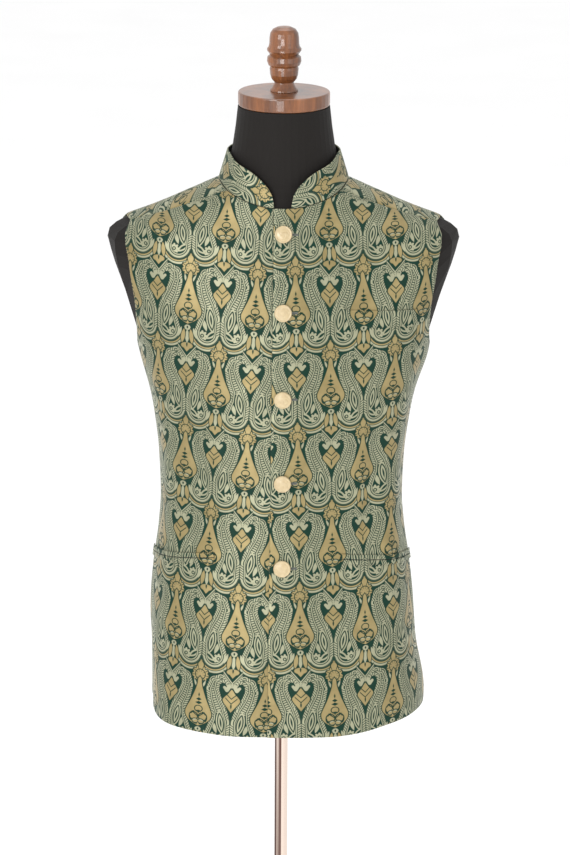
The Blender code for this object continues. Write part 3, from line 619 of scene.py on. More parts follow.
def cloth_up(points, front):
    """Distance up the cloth: the height, and over the shoulder the way along the surface."""
    normals = grid_normals(points)
    grain = np.cross(normals, (1.0, 0.0, 0.0)) * (1 if front else -1)
    grain = grain / np.linalg.norm(grain, axis=-1, keepdims=True)
    steps = np.diff(points, axis=0)
    middle = (points[1:] + points[:-1]) / 2
    along = np.sum(steps * (grain[1:] + grain[:-1]) / 2, axis=-1)
    rises = np.where(middle[..., 2] < GRAIN_LEVEL, steps[..., 2], along)
    return np.concatenate([points[:1, :, 2], points[:1, :, 2] + np.cumsum(rises, axis=0)])


def on_pattern(across, up, panel):
    """Turns and moves a panel's cloth under the pattern, as PATTERN_PLACES says."""
    lean, move_across, move_up = PATTERN_PLACES[panel]
    angle = math.radians(lean)
    turned = across * math.cos(angle) - up * math.sin(angle) + move_across
    raised = across * math.sin(angle) + up * math.cos(angle) + move_up
    return np.stack([turned, raised], axis=-1)


class Panel:
    """A panel's fine grid: its points on the inner face and their places on the cloth."""

    def __init__(self, name, side, front):
        inner, outer = front_borders(side) if front else back_borders()
        set_back = SEAM_SET_BACK * SEAM_GAP * (-1 if front else 1)
        places = patch(inner, outer, shoulder_seam(set_back))
        azimuth, height = places[..., 0], places[..., 1]
        self.points = surface(side * azimuth, height)
        if front and side > 0:
            lift = lap_lift(self.points[..., 0])[..., None]
            self.points = self.points + grid_normals(self.points) * lift
        across = cloth_across(azimuth, height, self.points[..., 0], 0.0 if front else 180.0)
        across = side * across * np.sign(azimuth) if front else side * across
        self.cloth = on_pattern(across, cloth_up(self.points, front), name)
        self.normals = grid_normals(self.points)

    def sample(self, what, row, column):
        """Reads one of the panel's grids between its points."""
        rows, columns = what.shape[:2]
        row, column = np.broadcast_arrays(row, column)
        low = np.clip(row.astype(int), 0, rows - 2)
        left = np.clip(column.astype(int), 0, columns - 2)
        up, over = (row - low)[..., None], (column - left)[..., None]
        bottom = mix(what[low, left], what[low, left + 1], over)
        top = mix(what[low + 1, left], what[low + 1, left + 1], over)
        return mix(bottom, top, up)

    def row_at(self, column, height):
        """The row at which each column reaches a height."""
        rows = np.arange(len(self.points), dtype=float)
        lanes = self.sample(self.points, rows[:, None], column[None])[..., 2]
        return np.array([np.interp(level, lane, rows) for level, lane in zip(height, lanes.T)])

    def column_at(self, distance, height):
        """The column at a distance from the middle along the cloth, at a height."""
        columns = np.arange(self.points.shape[1], dtype=float)
        rows = self.row_at(columns, np.full(len(columns), height))
        line = self.sample(self.points, rows, columns)
        lengths = run_lengths(line)
        middle = np.interp(0.0, line[:, 0] * np.sign(line[-1, 0]), lengths)
        return float(np.interp(distance, lengths - middle, columns))

    def place(self, distance, height, out):
        """A point on the outer face at a distance from the middle and a height, moved out."""
        column = np.array([self.column_at(distance, height)])
        row = self.row_at(column, np.array([height]))
        normal = self.sample(self.normals, row, column)[0]
        return self.sample(self.points, row, column)[0] + normal * out, normal


def grid_faces(rows, columns, flip):
    """The four-sided faces of a grid of points."""
    corner = np.arange(rows * columns).reshape(rows, columns)
    faces = np.stack([corner[:-1, :-1], corner[:-1, 1:], corner[1:, 1:], corner[1:, :-1]], axis=-1)
    faces = faces.reshape(-1, 4)
    return faces[:, ::-1] if flip else faces


def vertex_normals(points, faces):
    """Outward direction at each point, from the faces that meet there."""
    a, b, c, d = (points[faces[:, index]] for index in range(4))
    flat = np.cross(c - a, d - b)
    normals = np.zeros_like(points)
    for index in range(4):
        np.add.at(normals, faces[:, index], flat)
    return normals / np.maximum(np.linalg.norm(normals, axis=1, keepdims=True), 1e-12)


def border_edges(faces):
    """The edges of the faces that only one face has, each in its face's direction."""
    edges = np.concatenate([faces[:, [index, (index + 1) % 4]] for index in range(4)])
    key = np.sort(edges, axis=1)
    _, index, count = np.unique(key, axis=0, return_index=True, return_counts=True)
    return edges[index[count == 1]]


def new_object(name, points, faces, materials, cloth=None, slots=None):
    """A smooth mesh that rides on the root; slots gives each face's material."""
    mesh = bpy.data.meshes.new(name)
    mesh.from_pydata(np.asarray(points).tolist(), [], [list(map(int, face)) for face in faces])
    for material in materials:
        mesh.materials.append(material)
    if slots is not None:
        mesh.polygons.foreach_set("material_index", np.asarray(slots, dtype=np.int32))
    if cloth is not None:
        loops = np.zeros(len(mesh.loops), dtype=np.int32)
        mesh.loops.foreach_get("vertex_index", loops)
        layer = mesh.uv_layers.new(name="cloth")
        layer.uv.foreach_set("vector", np.asarray(cloth)[loops].astype(np.float32).ravel())
    mesh.polygons.foreach_set("use_smooth", np.ones(len(mesh.polygons), dtype=bool))
    mesh.update()
    thing = bpy.data.objects.new(name, mesh)
    bpy.context.scene.collection.objects.link(thing)
    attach(thing, "root")
    return thing


def cloth_wall(name, points, faces, cloth, thickness, materials, inward=False):
    """A sheet of cloth with real thickness, rolled edges and a lining on its inner face."""
    normals = vertex_normals(points, faces)
    base = points - normals * thickness if inward else points
    edges = border_edges(faces)
    border = np.unique(edges)
    lookup = np.full(len(points), -1)
    lookup[border] = np.arange(len(border))
    centres = points[faces].mean(axis=1)
    outwards = np.zeros_like(points)
    for index in range(4):
        np.add.at(outwards, faces[:, index], points[faces[:, index]] - centres)
    tangent = outwards[border]
    tangent = tangent - normals[border] * np.sum(tangent * normals[border], axis=1, keepdims=True)
    tangent = tangent / np.linalg.norm(tangent, axis=1, keepdims=True)
    half = thickness / 2
    core = base[border] + normals[border] * half - tangent * half
    outer, inner = base + normals * thickness, base.copy()
    outer[border] = core + normals[border] * half
    inner[border] = core - normals[border] * half
    rings = []
    for degrees in EDGE_ANGLES:
        angle = math.radians(degrees)
        sideways, outward_part = half * math.sin(angle), half * math.cos(angle)
        rings.append(core + tangent * sideways + normals[border] * outward_part)
    count, rim = len(points), len(border)
    vertices = np.concatenate([outer, inner] + rings)
    loops = [border]
    loops += [2 * count + rim * ring + np.arange(rim) for ring in range(len(rings))]
    loops += [count + border]
    first, second = lookup[edges[:, 0]], lookup[edges[:, 1]]
    sides = []
    for upper, lower in zip(loops[:-1], loops[1:]):
        sides.append(np.stack([upper[second], upper[first], lower[first], lower[second]], axis=-1))
    every = np.concatenate([faces] + sides + [faces[:, ::-1] + count])
    slots = np.zeros(len(every), dtype=int)
    slots[-len(faces):] = 1
    places = np.concatenate([cloth, cloth] + [cloth[border]] * len(rings))
    thing = new_object(name, vertices, every, materials, places, slots)
    thing["cloth_area"] = float(sum(face_areas(points, faces)))
    return thing


def face_areas(points, faces):
    a, b, c, d = (points[faces[:, index]] for index in range(4))
    return np.linalg.norm(np.cross(c - a, d - b), axis=1) / 2


def declare_sheet(thing, cloth, rests_on, with_pieces=()):
    """Measures the flat size that a piece was cut to, from its places on the cloth, and does
    nothing with it.
    """
    span = cloth.reshape(-1, 2).max(axis=0) - cloth.reshape(-1, 2).min(axis=0)
    rests_on, with_pieces = list(rests_on), list(with_pieces)


def add_front(name, panel, side, materials):
    faces = grid_faces(*panel.points.shape[:2], side < 0)
    points, cloth = panel.points.reshape(-1, 3), panel.cloth.reshape(-1, 2)
    thing = cloth_wall(f"{name}_cloth", points, faces, cloth, CLOTH, materials)
    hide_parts(name)
    return thing


def add_back(halves, materials):
    """The back in one piece, its two halves sharing the middle below the neckline."""
    rows, columns = halves[0].points.shape[:2]
    shared = LOW_ROWS + BACK_NECK_ROW + 1
    count = rows * columns
    second = grid_faces(rows, columns, False)
    row, column = np.divmod(second, columns)
    joined = (column == 0) & (row < shared)
    second = np.where(joined, second, second + count)
    faces = np.concatenate([grid_faces(rows, columns, True), second])
    points = np.concatenate([half.points.reshape(-1, 3) for half in halves])
    cloth = np.concatenate([half.cloth.reshape(-1, 2) for half in halves])
    used = np.unique(faces)
    renumber = np.full(len(points), -1)
    renumber[used] = np.arange(len(used))
    thing = cloth_wall("back_cloth", points[used], renumber[faces], cloth[used], CLOTH, materials)
    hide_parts("back")
    return thing, cloth[used]


def cut_at_x(line, x):
    """Drops what lies past x from the start of a line across the front."""
    keep = [index for index in range(len(line)) if line[index][0] * x > x * x]
    first = keep[0]
    share = (x - line[first - 1][0]) / (line[first][0] - line[first - 1][0])
    start = mix(line[first - 1], line[first], share)
    return np.vstack([start, line[first:]])


def collar_seam(left, right, halves):
    """The jacket's neckline as the panels have it, from the right front end to the left one."""
    rise = LOW_ROWS + NECK_ROW
    back_left, back_right = (half.points[LOW_ROWS + BACK_NECK_ROW:, 0] for half in halves)
    around = (right.points[rise:, 0], back_right[::-1], back_left[1:], left.points[rise:, 0][::-1])
    line = np.concatenate(around)
    middle = len(line) // 2
    start = cut_at_x(line[:middle], COLLAR_END_RIGHT)
    end = cut_at_x(line[middle:][::-1], COLLAR_END_LEFT)[::-1]
    line = np.concatenate([start, end])
    lengths = run_lengths(line)
    wanted = np.linspace(0, lengths[-1], COLLAR_COLUMNS + 1)
    return np.stack([np.interp(wanted, lengths, line[:, axis]) for axis in range(3)], axis=-1)


def collar_grid(line):
    """The band collar, from its right front end round behind the neck to its left one."""
    lengths = run_lengths(line)
    azimuth = np.degrees(np.arctan2(line[:, 0], -line[:, 1]))
    normal = outward(azimuth, line[:, 2])
    along = np.gradient(line, axis=0)
    along = along / np.linalg.norm(along, axis=1, keepdims=True)
    upward = np.cross(along, normal)
    upward = upward * np.sign(upward[:, 2:])
    foot = line + normal * (CLOTH + LAYER_GAP) + upward * COLLAR_SEAT
    inward = -foot * np.array((1.0, 1.0, 0.0))
    inward = inward / np.linalg.norm(inward, axis=1, keepdims=True)
    end_lean = np.where(inward[:, 1] > 0, COLLAR_FRONT_LEAN, COLLAR_BACK_LEAN)
    lean = mix(end_lean, COLLAR_LEAN, np.abs(inward[:, 0]))
    short = np.maximum(0.0, COLLAR_CORNER - np.minimum(lengths, lengths[-1] - lengths))
    cut = COLLAR_CORNER_DROP * (1 - np.sqrt(1 - (short / COLLAR_CORNER) ** 2))
    top = COLLAR_HEIGHT - cut
    share = np.linspace(0, 1, COLLAR_ROWS + 1)[:, None] * top / COLLAR_HEIGHT
    rise = np.sqrt(COLLAR_HEIGHT ** 2 - lean ** 2) * share
    grid = foot + inward * (lean * share)[..., None] + np.array((0.0, 0.0, 1.0)) * rise[..., None]
    up = share * COLLAR_HEIGHT
    across = np.broadcast_to(lengths - lengths[-1] / 2, up.shape)
    return grid, on_pattern(across, up, "collar")


def add_collar(left, right, halves, materials):
    grid, cloth = collar_grid(collar_seam(left, right, halves))
    faces = grid_faces(*grid.shape[:2], True)
    cloth = cloth.reshape(-1, 2)
    points = grid.reshape(-1, 3)
    thing = cloth_wall("collar_band", points, faces, cloth, COLLAR_CLOTH, materials, inward=True)
    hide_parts("collar")
    return thing, cloth


def strip_grid(panel, start, end, heights, width, drop, out, lines):
    """A strip on a panel between two distances from the middle; drop moves it below the line."""
    first = panel.column_at(start, heights[0])
    last = panel.column_at(end, heights[1])
    columns = np.linspace(first, last, STRIP_COLUMNS + 1)
    line = mix(heights[0], heights[1], (columns - first) / (last - first))
    points, cloth = [], []
    for edge in np.linspace(drop + width, drop, lines):
        rows = panel.row_at(columns, line - edge)
        normal = panel.sample(panel.normals, rows, columns)
        points.append(panel.sample(panel.points, rows, columns) + normal * out)
        cloth.append(panel.sample(panel.cloth, rows, columns))
    return np.array(points), np.array(cloth)


def add_strip(name, side, strip, thickness, materials):
    """Makes a strip's grid into a piece of cloth; side is 1 on the wearer's left, else -1."""
    points, cloth = strip
    faces = grid_faces(*points.shape[:2], side < 0)
    cloth = cloth.reshape(-1, 2)
    return cloth_wall(name, points.reshape(-1, 3), faces, cloth, thickness, materials)


def add_pockets(left, right, materials, dark):
    """Adds the jets, mouths and welt, and returns them by the front that they lie on."""
    heights = (HIP_POCKET_INNER_HEIGHT, HIP_POCKET_OUTER_HEIGHT)
    ends = (HIP_POCKET_START, HIP_POCKET_END)
    trims = {"front_left": [], "front_right": []}
    out = CLOTH + TRIM_GAP
    for name, panel, side in (("left", left, 1), ("right", right, -1)):
        for jet, drop in (("upper", -JET_SLIT / 2 - JET_WIDTH), ("lower", JET_SLIT / 2)):
            strip = strip_grid(panel, *ends, heights, JET_WIDTH, drop, out, JET_LINES)
            piece = f"hip_pocket_{name}_{jet}_jet"
            thing = add_strip(f"{piece}_cloth", side, strip, TRIM_CLOTH, materials)
            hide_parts(piece)
            trims[f"front_{name}"].append(thing)
        # Painted shade: the mouth is a dark strip of lining laid under the jets in place of the
        # pocket's shaded opening.
        drop, low_out = -MOUTH_WIDTH / 2, CLOTH + MOUTH_GAP
        strip = strip_grid(panel, *ends, heights, MOUTH_WIDTH, drop, low_out, MOUTH_LINES)
        thing = add_strip(f"hip_pocket_{name}_mouth", side, strip, MOUTH_CLOTH, [dark, dark])
        trims[f"front_{name}"].append(thing)
    heights = (WELT_INNER_HEIGHT, WELT_OUTER_HEIGHT)
    strip = strip_grid(left, WELT_START, WELT_END, heights, WELT_WIDTH, 0.0, out, WELT_LINES)
    thing = add_strip("chest_welt_cloth", 1, strip, TRIM_CLOTH, materials)
    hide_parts("chest_welt")
    trims["front_left"].append(thing)
    return trims


def button_height(radius, angle):
    """Height of a button's face: a low dome with a carved swirl, a groove and a rim."""
    profile = np.array(BUTTON_PROFILE[:BUTTON_EDGE + 2])
    plain = np.interp(radius, profile[:, 0], profile[:, 1])
    share = radius / BUTTON_DOME
    swirl = np.cos(SWIRL_ARMS * angle + SWIRL_TWIST * share)
    fades = smooth(share * SWIRL_FADES[0]) * smooth((1 - share) * SWIRL_FADES[1])
    return plain - BUTTON_CARVING * smooth(swirl * SWIRL_STEEPNESS - 1.0) * fades


def add_button(number, seat, normal, material):
    """A domed button as rings of points round its axis."""
    rim, edge = BUTTON_PROFILE[BUTTON_RIM][0], BUTTON_PROFILE[BUTTON_EDGE][0]
    radii = np.linspace(BUTTON_PIN, BUTTON_DOME, BUTTON_RINGS[0])
    for start, end, count in ((BUTTON_DOME, rim, BUTTON_RINGS[1]), (rim, edge, BUTTON_RINGS[2])):
        radii = np.concatenate([radii, np.linspace(start, end, count)[1:]])
    angles = np.linspace(0, 2 * math.pi, BUTTON_AROUND, endpoint=False)
    radius, angle = np.meshgrid(radii, angles, indexing="ij")
    height = button_height(radius, angle)
    rings = [np.stack([radius * np.cos(angle), radius * np.sin(angle), height], axis=-1)]
    for low in BUTTON_PROFILE[BUTTON_EDGE + 1:BUTTON_EDGE + 3]:
        ring = rings[0][-1].copy()
        ring[:, :2] *= low[0] / edge
        ring[:, 2] = low[1]
        rings.append(ring[None])
    points = np.concatenate(rings).reshape(-1, 3)
    rows = len(points) // BUTTON_AROUND
    faces = []
    for row in range(rows - 1):
        for column in range(BUTTON_AROUND):
            a = row * BUTTON_AROUND + column
            b = row * BUTTON_AROUND + (column + 1) % BUTTON_AROUND
            faces.append((a, a + BUTTON_AROUND, b + BUTTON_AROUND, b))
    faces.append(tuple(range(BUTTON_AROUND)))
    faces.append(tuple(range(len(points) - BUTTON_AROUND, len(points)))[::-1])
    facing = Vector(normal)
    facing.x = 0.0
    turn = np.array(facing.to_track_quat("Z", "Y").to_matrix())
    points = points @ turn.T + seat
    thing = new_object(f"button_{number}_turned", points, faces, [material])
    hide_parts(f"button_{number}")


def round_slit(distance, half, radius):
    """A place on the loop round a slit, and the way out from the loop there."""
    straight, bend = 2 * half, math.pi * radius
    side = 1 if distance < straight + bend else -1
    distance -= 0.0 if side > 0 else straight + bend
    if distance < straight:
        place, out = (-half + distance, radius), (0.0, 1.0)
    else:
        turn = (distance - straight) / radius
        out = (math.sin(turn), math.cos(turn))
        place = (half + radius * out[0], radius * out[1])
    return side * np.array(place), side * np.array(out)


def add_buttonhole(number, panel, height, thread, dark):
    """A worked buttonhole: thread wraps round a slit, seen beside its button."""
    centre, normal = panel.place(0.5 * (HOLE_START + HOLE_END), height, CLOTH)
    across = np.array((1.0, 0.0, 0.0))
    across = across - normal * (across @ normal)
    across = across / np.linalg.norm(across)
    upward = np.cross(normal, across)
    upward = upward * np.sign(upward[2])
    half, radius = 0.5 * (HOLE_END - HOLE_START) - HOLE_LIP, HOLE_LIP * HOLE_BEND
    around = 2 * (2 * half + math.pi * radius)
    steps = int(around / THREAD_PITCH) * THREAD_STEPS
    lip = []
    for step in range(steps):
        place, out = round_slit(around * step / steps, half, radius)
        wrap = 1 - HOLE_DIP + HOLE_DIP * math.cos(2 * math.pi * step / THREAD_STEPS)
        for angle in np.linspace(0, math.pi, LIP_POINTS):
            x, y = place + out * (0.5 * HOLE_LIP * math.cos(angle))
            top = HOLE_RISE * wrap * math.sin(angle)
            lip.append(centre + across * x + upward * y + normal * top)
    faces = []
    for step in range(steps):
        for point in range(LIP_POINTS - 1):
            a = step * LIP_POINTS + point
            b = (step + 1) % steps * LIP_POINTS + point
            faces.append((a, b, b + 1, a + 1))
    slots = [0] * len(faces)
    # Painted shade: the slit is a dark sheet of lining inside the thread in place of the shaded
    # cut.
    base = len(lip)
    for x, y in ((-half, -radius), (half, -radius), (half, radius), (-half, radius)):
        lip.append(centre + across * x + upward * y + normal * SLIT_RISE)
    faces.append((base, base + 1, base + 2, base + 3))
    slots.append(1)
    new_object(f"buttonhole_{number}", lip, faces, [thread, dark], slots=slots)


def add_buttons(left, cream, thread, dark):
    for number, height in enumerate(BUTTON_HEIGHTS, start=1):
        seat, normal = left.place(0.0, height, CLOTH + LAYER_GAP + BUTTON_SEAT)
        add_button(number, seat, normal, cream)
        add_buttonhole(number, left, height, thread, dark)


class Num:
    """A number in a node tree, so that formulas can be written as formulas."""

    def __init__(self, tree, socket):
        self.tree = tree
        self.socket = socket

    def math(self, operation, *others, clamp=False):
        node = self.tree.nodes.new("ShaderNodeMath")
        node.operation = operation
        node.use_clamp = clamp
        for slot, value in zip(node.inputs, (self,) + others):
            if isinstance(value, Num):
                self.tree.links.new(value.socket, slot)
            else:
                slot.default_value = value
        return Num(self.tree, node.outputs[0])

    def __add__(self, other):
        return self.math("ADD", other)

    def __sub__(self, other):
        return self.math("SUBTRACT", other)

    def __rsub__(self, other):
        return (self * -1.0) + other

    def __mul__(self, other):
        return self.math("MULTIPLY", other)

    def __truediv__(self, other):
        return self.math("DIVIDE", other)

    def min(self, other):
        return self.math("MINIMUM", other)

    def max(self, other):
        return self.math("MAXIMUM", other)

    def abs(self):
        return self.math("ABSOLUTE")

    def less(self, other):
        return self.math("LESS_THAN", other)

    def times_add(self, factor, term):
        return self.math("MULTIPLY_ADD", factor, term)

    def wrap(self, high, low=0.0):
        return self.math("WRAP", high, low)

    def inside(self, edge=0.0, soft=0.35):
        """1 where this distance is under edge, 0 beyond it, with a soft border."""
        node = self.tree.nodes.new("ShaderNodeMapRange")
        node.interpolation_type = "SMOOTHSTEP"
        self.tree.links.new(self.socket, node.inputs["Value"])
        node.inputs["From Min"].default_value = edge + soft
        node.inputs["From Max"].default_value = edge - soft
        return Num(self.tree, node.outputs["Result"])

    def band(self, low, high, soft=0.3):
        """1 between two values of this distance."""
        middle, half = (low + high) / 2, (high - low) / 2
        return (self - middle).abs().inside(half, soft)

    def curve(self, points, low, high):
        """A smooth curve through (input, output) pairs; outputs stay under CURVE_TOP."""
        share = self.times_add(1 / (high - low), -low / (high - low))
        node = self.tree.nodes.new("ShaderNodeFloatCurve")
        self.tree.links.new(share.socket, node.inputs["Value"])
        line = node.mapping.curves[0]
        while len(line.points) < len(points):
            line.points.new(0.5, 0.5)
        for spot, (place, value) in zip(line.points, points):
            spot.location = ((place - low) / (high - low), value / CURVE_TOP)
            spot.handle_type = "AUTO_CLAMPED"
        node.mapping.update()
        return Num(self.tree, node.outputs["Value"]) * CURVE_TOP


def vector(tree, operation, first, second=None, scale=None):
    """A vector formula's outputs; first and second may be sockets or three numbers."""
    node = tree.nodes.new("ShaderNodeVectorMath")
    node.operation = operation
    for slot, value in zip(node.inputs, (first, second)):
        if value is None:
            continue
        if isinstance(value, (tuple, list)):
            slot.default_value = value
        else:
            tree.links.new(value, slot)
    if scale is not None:
        tree.links.new(scale.socket, node.inputs["Scale"])
    return node.outputs


def boteh(tree, place):
    """Distance to the boteh's outline, negative inside, and the distance along it."""
    away, along, run = None, None, 0.0
    for (ax, ay, ar), (bx, by, br) in zip(BOTEH[:-1], BOTEH[1:]):
        ay, by = ay * TALL, by * TALL
        length = math.hypot(bx - ax, by - ay)
        step = (bx - ax, by - ay, 0.0)
        unit = ((bx - ax) / length ** 2, (by - ay) / length ** 2, 0.0)
        from_a = vector(tree, "SUBTRACT", place, (ax, ay, 0.0))["Vector"]
        share = Num(tree, vector(tree, "DOT_PRODUCT", from_a, unit)["Value"])
        share = share.math("ADD", 0.0, clamp=True)
        on_line = vector(tree, "SCALE", step, scale=share)["Vector"]
        gap = Num(tree, vector(tree, "DISTANCE", from_a, on_line)["Value"])
        here = gap - share.times_add(br - ar, ar)
        length_here = share.times_add(length, run)
        if away is None:
            away, along = here, length_here
        else:
            nearer = here.less(away)
            along = along + (length_here - along) * nearer
            away = away.min(here)
        run += length
    return away, along


def disc(tree, place, across, down, width, height=None):
    """Distance to a small ellipse, negative inside."""
    height = width if height is None else height
    shifted = vector(tree, "SUBTRACT", place, (across, down * TALL, 0.0))["Vector"]
    scaled = vector(tree, "MULTIPLY", shifted, (1 / width, 1 / height, 0.0))["Vector"]
    return (Num(tree, vector(tree, "LENGTH", scaled)["Value"]) - 1.0) * min(width, height)


def leaf(tree, place, across, down, width, height, turn=0.0):
    """Distance to a pointed leaf, which is where two circles overlap."""
    shifted = vector(tree, "SUBTRACT", place, (across, down * TALL, 0.0))["Vector"]
    angle = math.radians(turn)
    side = (math.cos(angle), math.sin(angle), 0.0)
    down_it = (-math.sin(angle), math.cos(angle), 0.0)
    x = Num(tree, vector(tree, "DOT_PRODUCT", shifted, side)["Value"]).abs()
    y = Num(tree, vector(tree, "DOT_PRODUCT", shifted, down_it)["Value"])
    radius = (width * width + height * height) / (2 * width)
    x = x + (radius - width)
    return (x * x + y * y).math("SQRT") - radius


def petals(tree, place, across, down, radius, count, depth, turn=0.0):
    """Distance to a round flower with petals."""
    shifted = vector(tree, "SUBTRACT", place, (across, down * TALL, 0.0))["Vector"]
    split = tree.nodes.new("ShaderNodeSeparateXYZ")
    tree.links.new(shifted, split.inputs[0])
    x, y = Num(tree, split.outputs[0]), Num(tree, split.outputs[1])
    angle = x.math("ARCTAN2", y)
    lobes = angle.times_add(count / 2, turn).math("COSINE").abs()
    far = Num(tree, vector(tree, "LENGTH", shifted)["Value"])
    return far - lobes.times_add(depth, radius - depth), angle, far


def paisley_pattern():
    """A node group that turns a place on the cloth into its tan and pale figures."""
    tree = bpy.data.node_groups.new("paisley_brocade", "ShaderNodeTree")
    tree.interface.new_socket("Cloth", in_out="INPUT", socket_type="NodeSocketVector")
    for name in ("Tan", "Light"):
        tree.interface.new_socket(name, in_out="OUTPUT", socket_type="NodeSocketFloat")
    entry = tree.nodes.new("NodeGroupInput")
    leave = tree.nodes.new("NodeGroupOutput")
    split = tree.nodes.new("ShaderNodeSeparateXYZ")
    tree.links.new(entry.outputs["Cloth"], split.inputs[0])
    across = Num(tree, split.outputs[0]) / MOTIF_UNIT
    down = Num(tree, split.outputs[1]) / -MOTIF_UNIT
    row = (down / DROP).math("FLOOR")
    y = down - row * DROP
    odd = row.wrap(2.0).math("ROUND")
    x = (across - odd * HALF + HALF).wrap(2 * HALF) - HALF
    x = x.abs()

    def joined(a, b):
        node = tree.nodes.new("ShaderNodeCombineXYZ")
        tree.links.new(a.socket, node.inputs[0])
        tree.links.new(b.socket, node.inputs[1])
        return node.outputs[0]

    here = joined(x, y)
    above = joined(HALF - x, y + DROP)

    tan = Num(tree, tree.nodes.new("ShaderNodeValue").outputs[0])
    tan.socket.default_value = 0.0
    light = tan

    def paint(target, mask):
        return target.max(mask)

    def cut(target, mask):
        return target * (1.0 - mask)

    # The boteh, also the foot of the one in the row above
    for place, place_down, part in ((here, y, "body"), (above, y + DROP, "foot")):
        away, along = boteh(tree, place)
        dashes = (along + away * 0.8).wrap(2.45)
        dashes = (dashes - 1.22).abs().inside(0.80, 0.35)
        past_curl = 1.0 - along.inside(11.0, 1.0)
        light = paint(light, away.band(-3.3, -0.1) * dashes * past_curl)
        light = paint(light, away.band(-5.0, -4.0, 0.35) * past_curl)
        if part == "body":
            curl = along.inside(27.0, 3.0)
            curl_band = away.inside(-0.1, 0.3).min(1.0 - past_curl * away.band(-5.2, 0.5, 0.3))
            light = cut(light, curl * away.inside(-5.2, 0.3))
            light = paint(light, curl_band * curl * (1.0 - away.band(-3.4, -2.4, 0.35)))
            straight = along.inside(62.0, 1.0) * (1.0 - curl)
            dots = (along.wrap(2.4) - 1.2).abs().inside(0.75, 0.35)
            light = paint(light, away.inside(-5.7, 0.3) * straight * dots)
        # Leaves and a flower in the round foot, and the crescent below it
        foot_area = away.inside(-5.6, 0.3) * (1.0 - along.inside(57.0, 1.5))
        blade = leaf(tree, place, 23.6, 58.5, 4.6, 13.0, -10.0)
        light = paint(light, foot_area * (blade.band(-1.1, 0.1) + blade.inside(-2.3)).min(1.0))
        light = cut(light, blade.inside(-3.7) * foot_area)
        blade = leaf(tree, place, 24.5, 73.0, 2.8, 7.0, 52.0)
        light = paint(light, foot_area * blade.inside(0.0) * (1.0 - blade.inside(-1.6)))
        blade = leaf(tree, place, 17.5, 64.0, 1.9, 6.5, -20.0)
        light = paint(light, foot_area * blade.inside(0.0))
        flower, _, far = petals(tree, place, 15.5, 74.5, 5.4, 8, 2.0)
        mask = flower.inside(0.0) * (1.0 - far.inside(1.9))
        light = paint(light, foot_area * mask)
        light = paint(light, foot_area * far.inside(0.9))
        below = (78.0 * TALL - place_down).inside(0.0, 1.5)
        crescent = below * disc(tree, place, 19.5, 80.5, 15.0, 15.5).inside(0.0, 1.0)
        tan = paint(tan, crescent * away.band(1.2, 2.5))
        light = paint(light, crescent * away.band(3.1, 5.6) * dashes)

    # The palmette on the teardrop's neck
    fan, angle, far = petals(tree, here, 0.0, 13.2, 8.8, 9, 1.9)
    fan = fan.max(y - 18.6 * TALL)
    tip = leaf(tree, here, 0.0, 5.0, 3.2, 5.4)
    fan = fan.min(tip)
    flower = fan.inside(0.0)
    veins = angle.times_add(4.5, 1.5708).math("COSINE").abs().inside(0.20, 0.12)
    flower = flower * (1.0 - veins * (1.0 - far.inside(2.4)))
    flower = flower * (1.0 - (far - 5.2).abs().inside(0.45, 0.3))
    light = cut(light, fan.inside(1.1))
    tan = paint(cut(tan, fan.inside(1.1)), flower)

    tendril = leaf(tree, here, 4.3, 22.4, 1.0, 4.2, 22.0)
    light = paint(light, tendril.inside(0.0))
    # The teardrop
    drop_width = y.curve(
        (
            (16, 0.01), (18.5, 1.7), (23, 2.1), (27, 3.0), (31, 4.3), (35, 5.7), (40, 7.7),
            (45, 10.0), (50, 12.3), (54, 13.5), (58, 12.8), (62, 9.6), (65, 5.4), (67.5, 0.01),
        ),
        15.0, 70.0,
    )
    edge = (x - drop_width) * 0.88
    light = cut(light, edge.inside(1.0))
    tan = paint(cut(tan, edge.inside(1.0)), edge.inside(0.0))
    ring = disc(tree, here, 0.0, 56.4, 9.4, 7.4)
    beads = (x.math("ARCTAN2", y - 56.4 * TALL) * 7.0).math("COSINE").inside(0.55, 0.3)
    tan = cut(tan, ring.band(-1.3, 0.1, 0.25) * beads)
    lobes = disc(tree, here, 4.6, 55.4, 3.9, 3.6)
    tan = cut(tan, lobes.band(-0.2, 0.9, 0.25))
    curls = disc(tree, here, 2.9, 60.0, 2.6, 1.9)
    light = paint(light, curls.inside(0.0))
    tan = cut(tan, curls.band(-0.1, 0.9, 0.25))
    fork = (x * 0.75 + (y - 55.6 * TALL)) * 0.8
    tan = cut(tan, fork.band(-0.5, 0.5, 0.25) * x.inside(6.5, 0.5))
    bud = disc(tree, here, 0.0, 47.6, 3.6, 3.0)
    tan = cut(tan, bud.band(-0.2, 0.7, 0.25))
    tan = cut(tan, leaf(tree, here, 0.0, 50.6, 0.8, 1.9).inside(0.0))
    for down_at, wide, tall in ((33.6, 0.9, 2.4), (38.0, 2.9, 1.7), (41.6, 3.6, 1.7)):
        spot = (x / wide + (y - down_at * TALL).abs() / tall - 1.0) * (wide * 0.7)
        tan = cut(tan, spot.inside(0.0, 0.3))

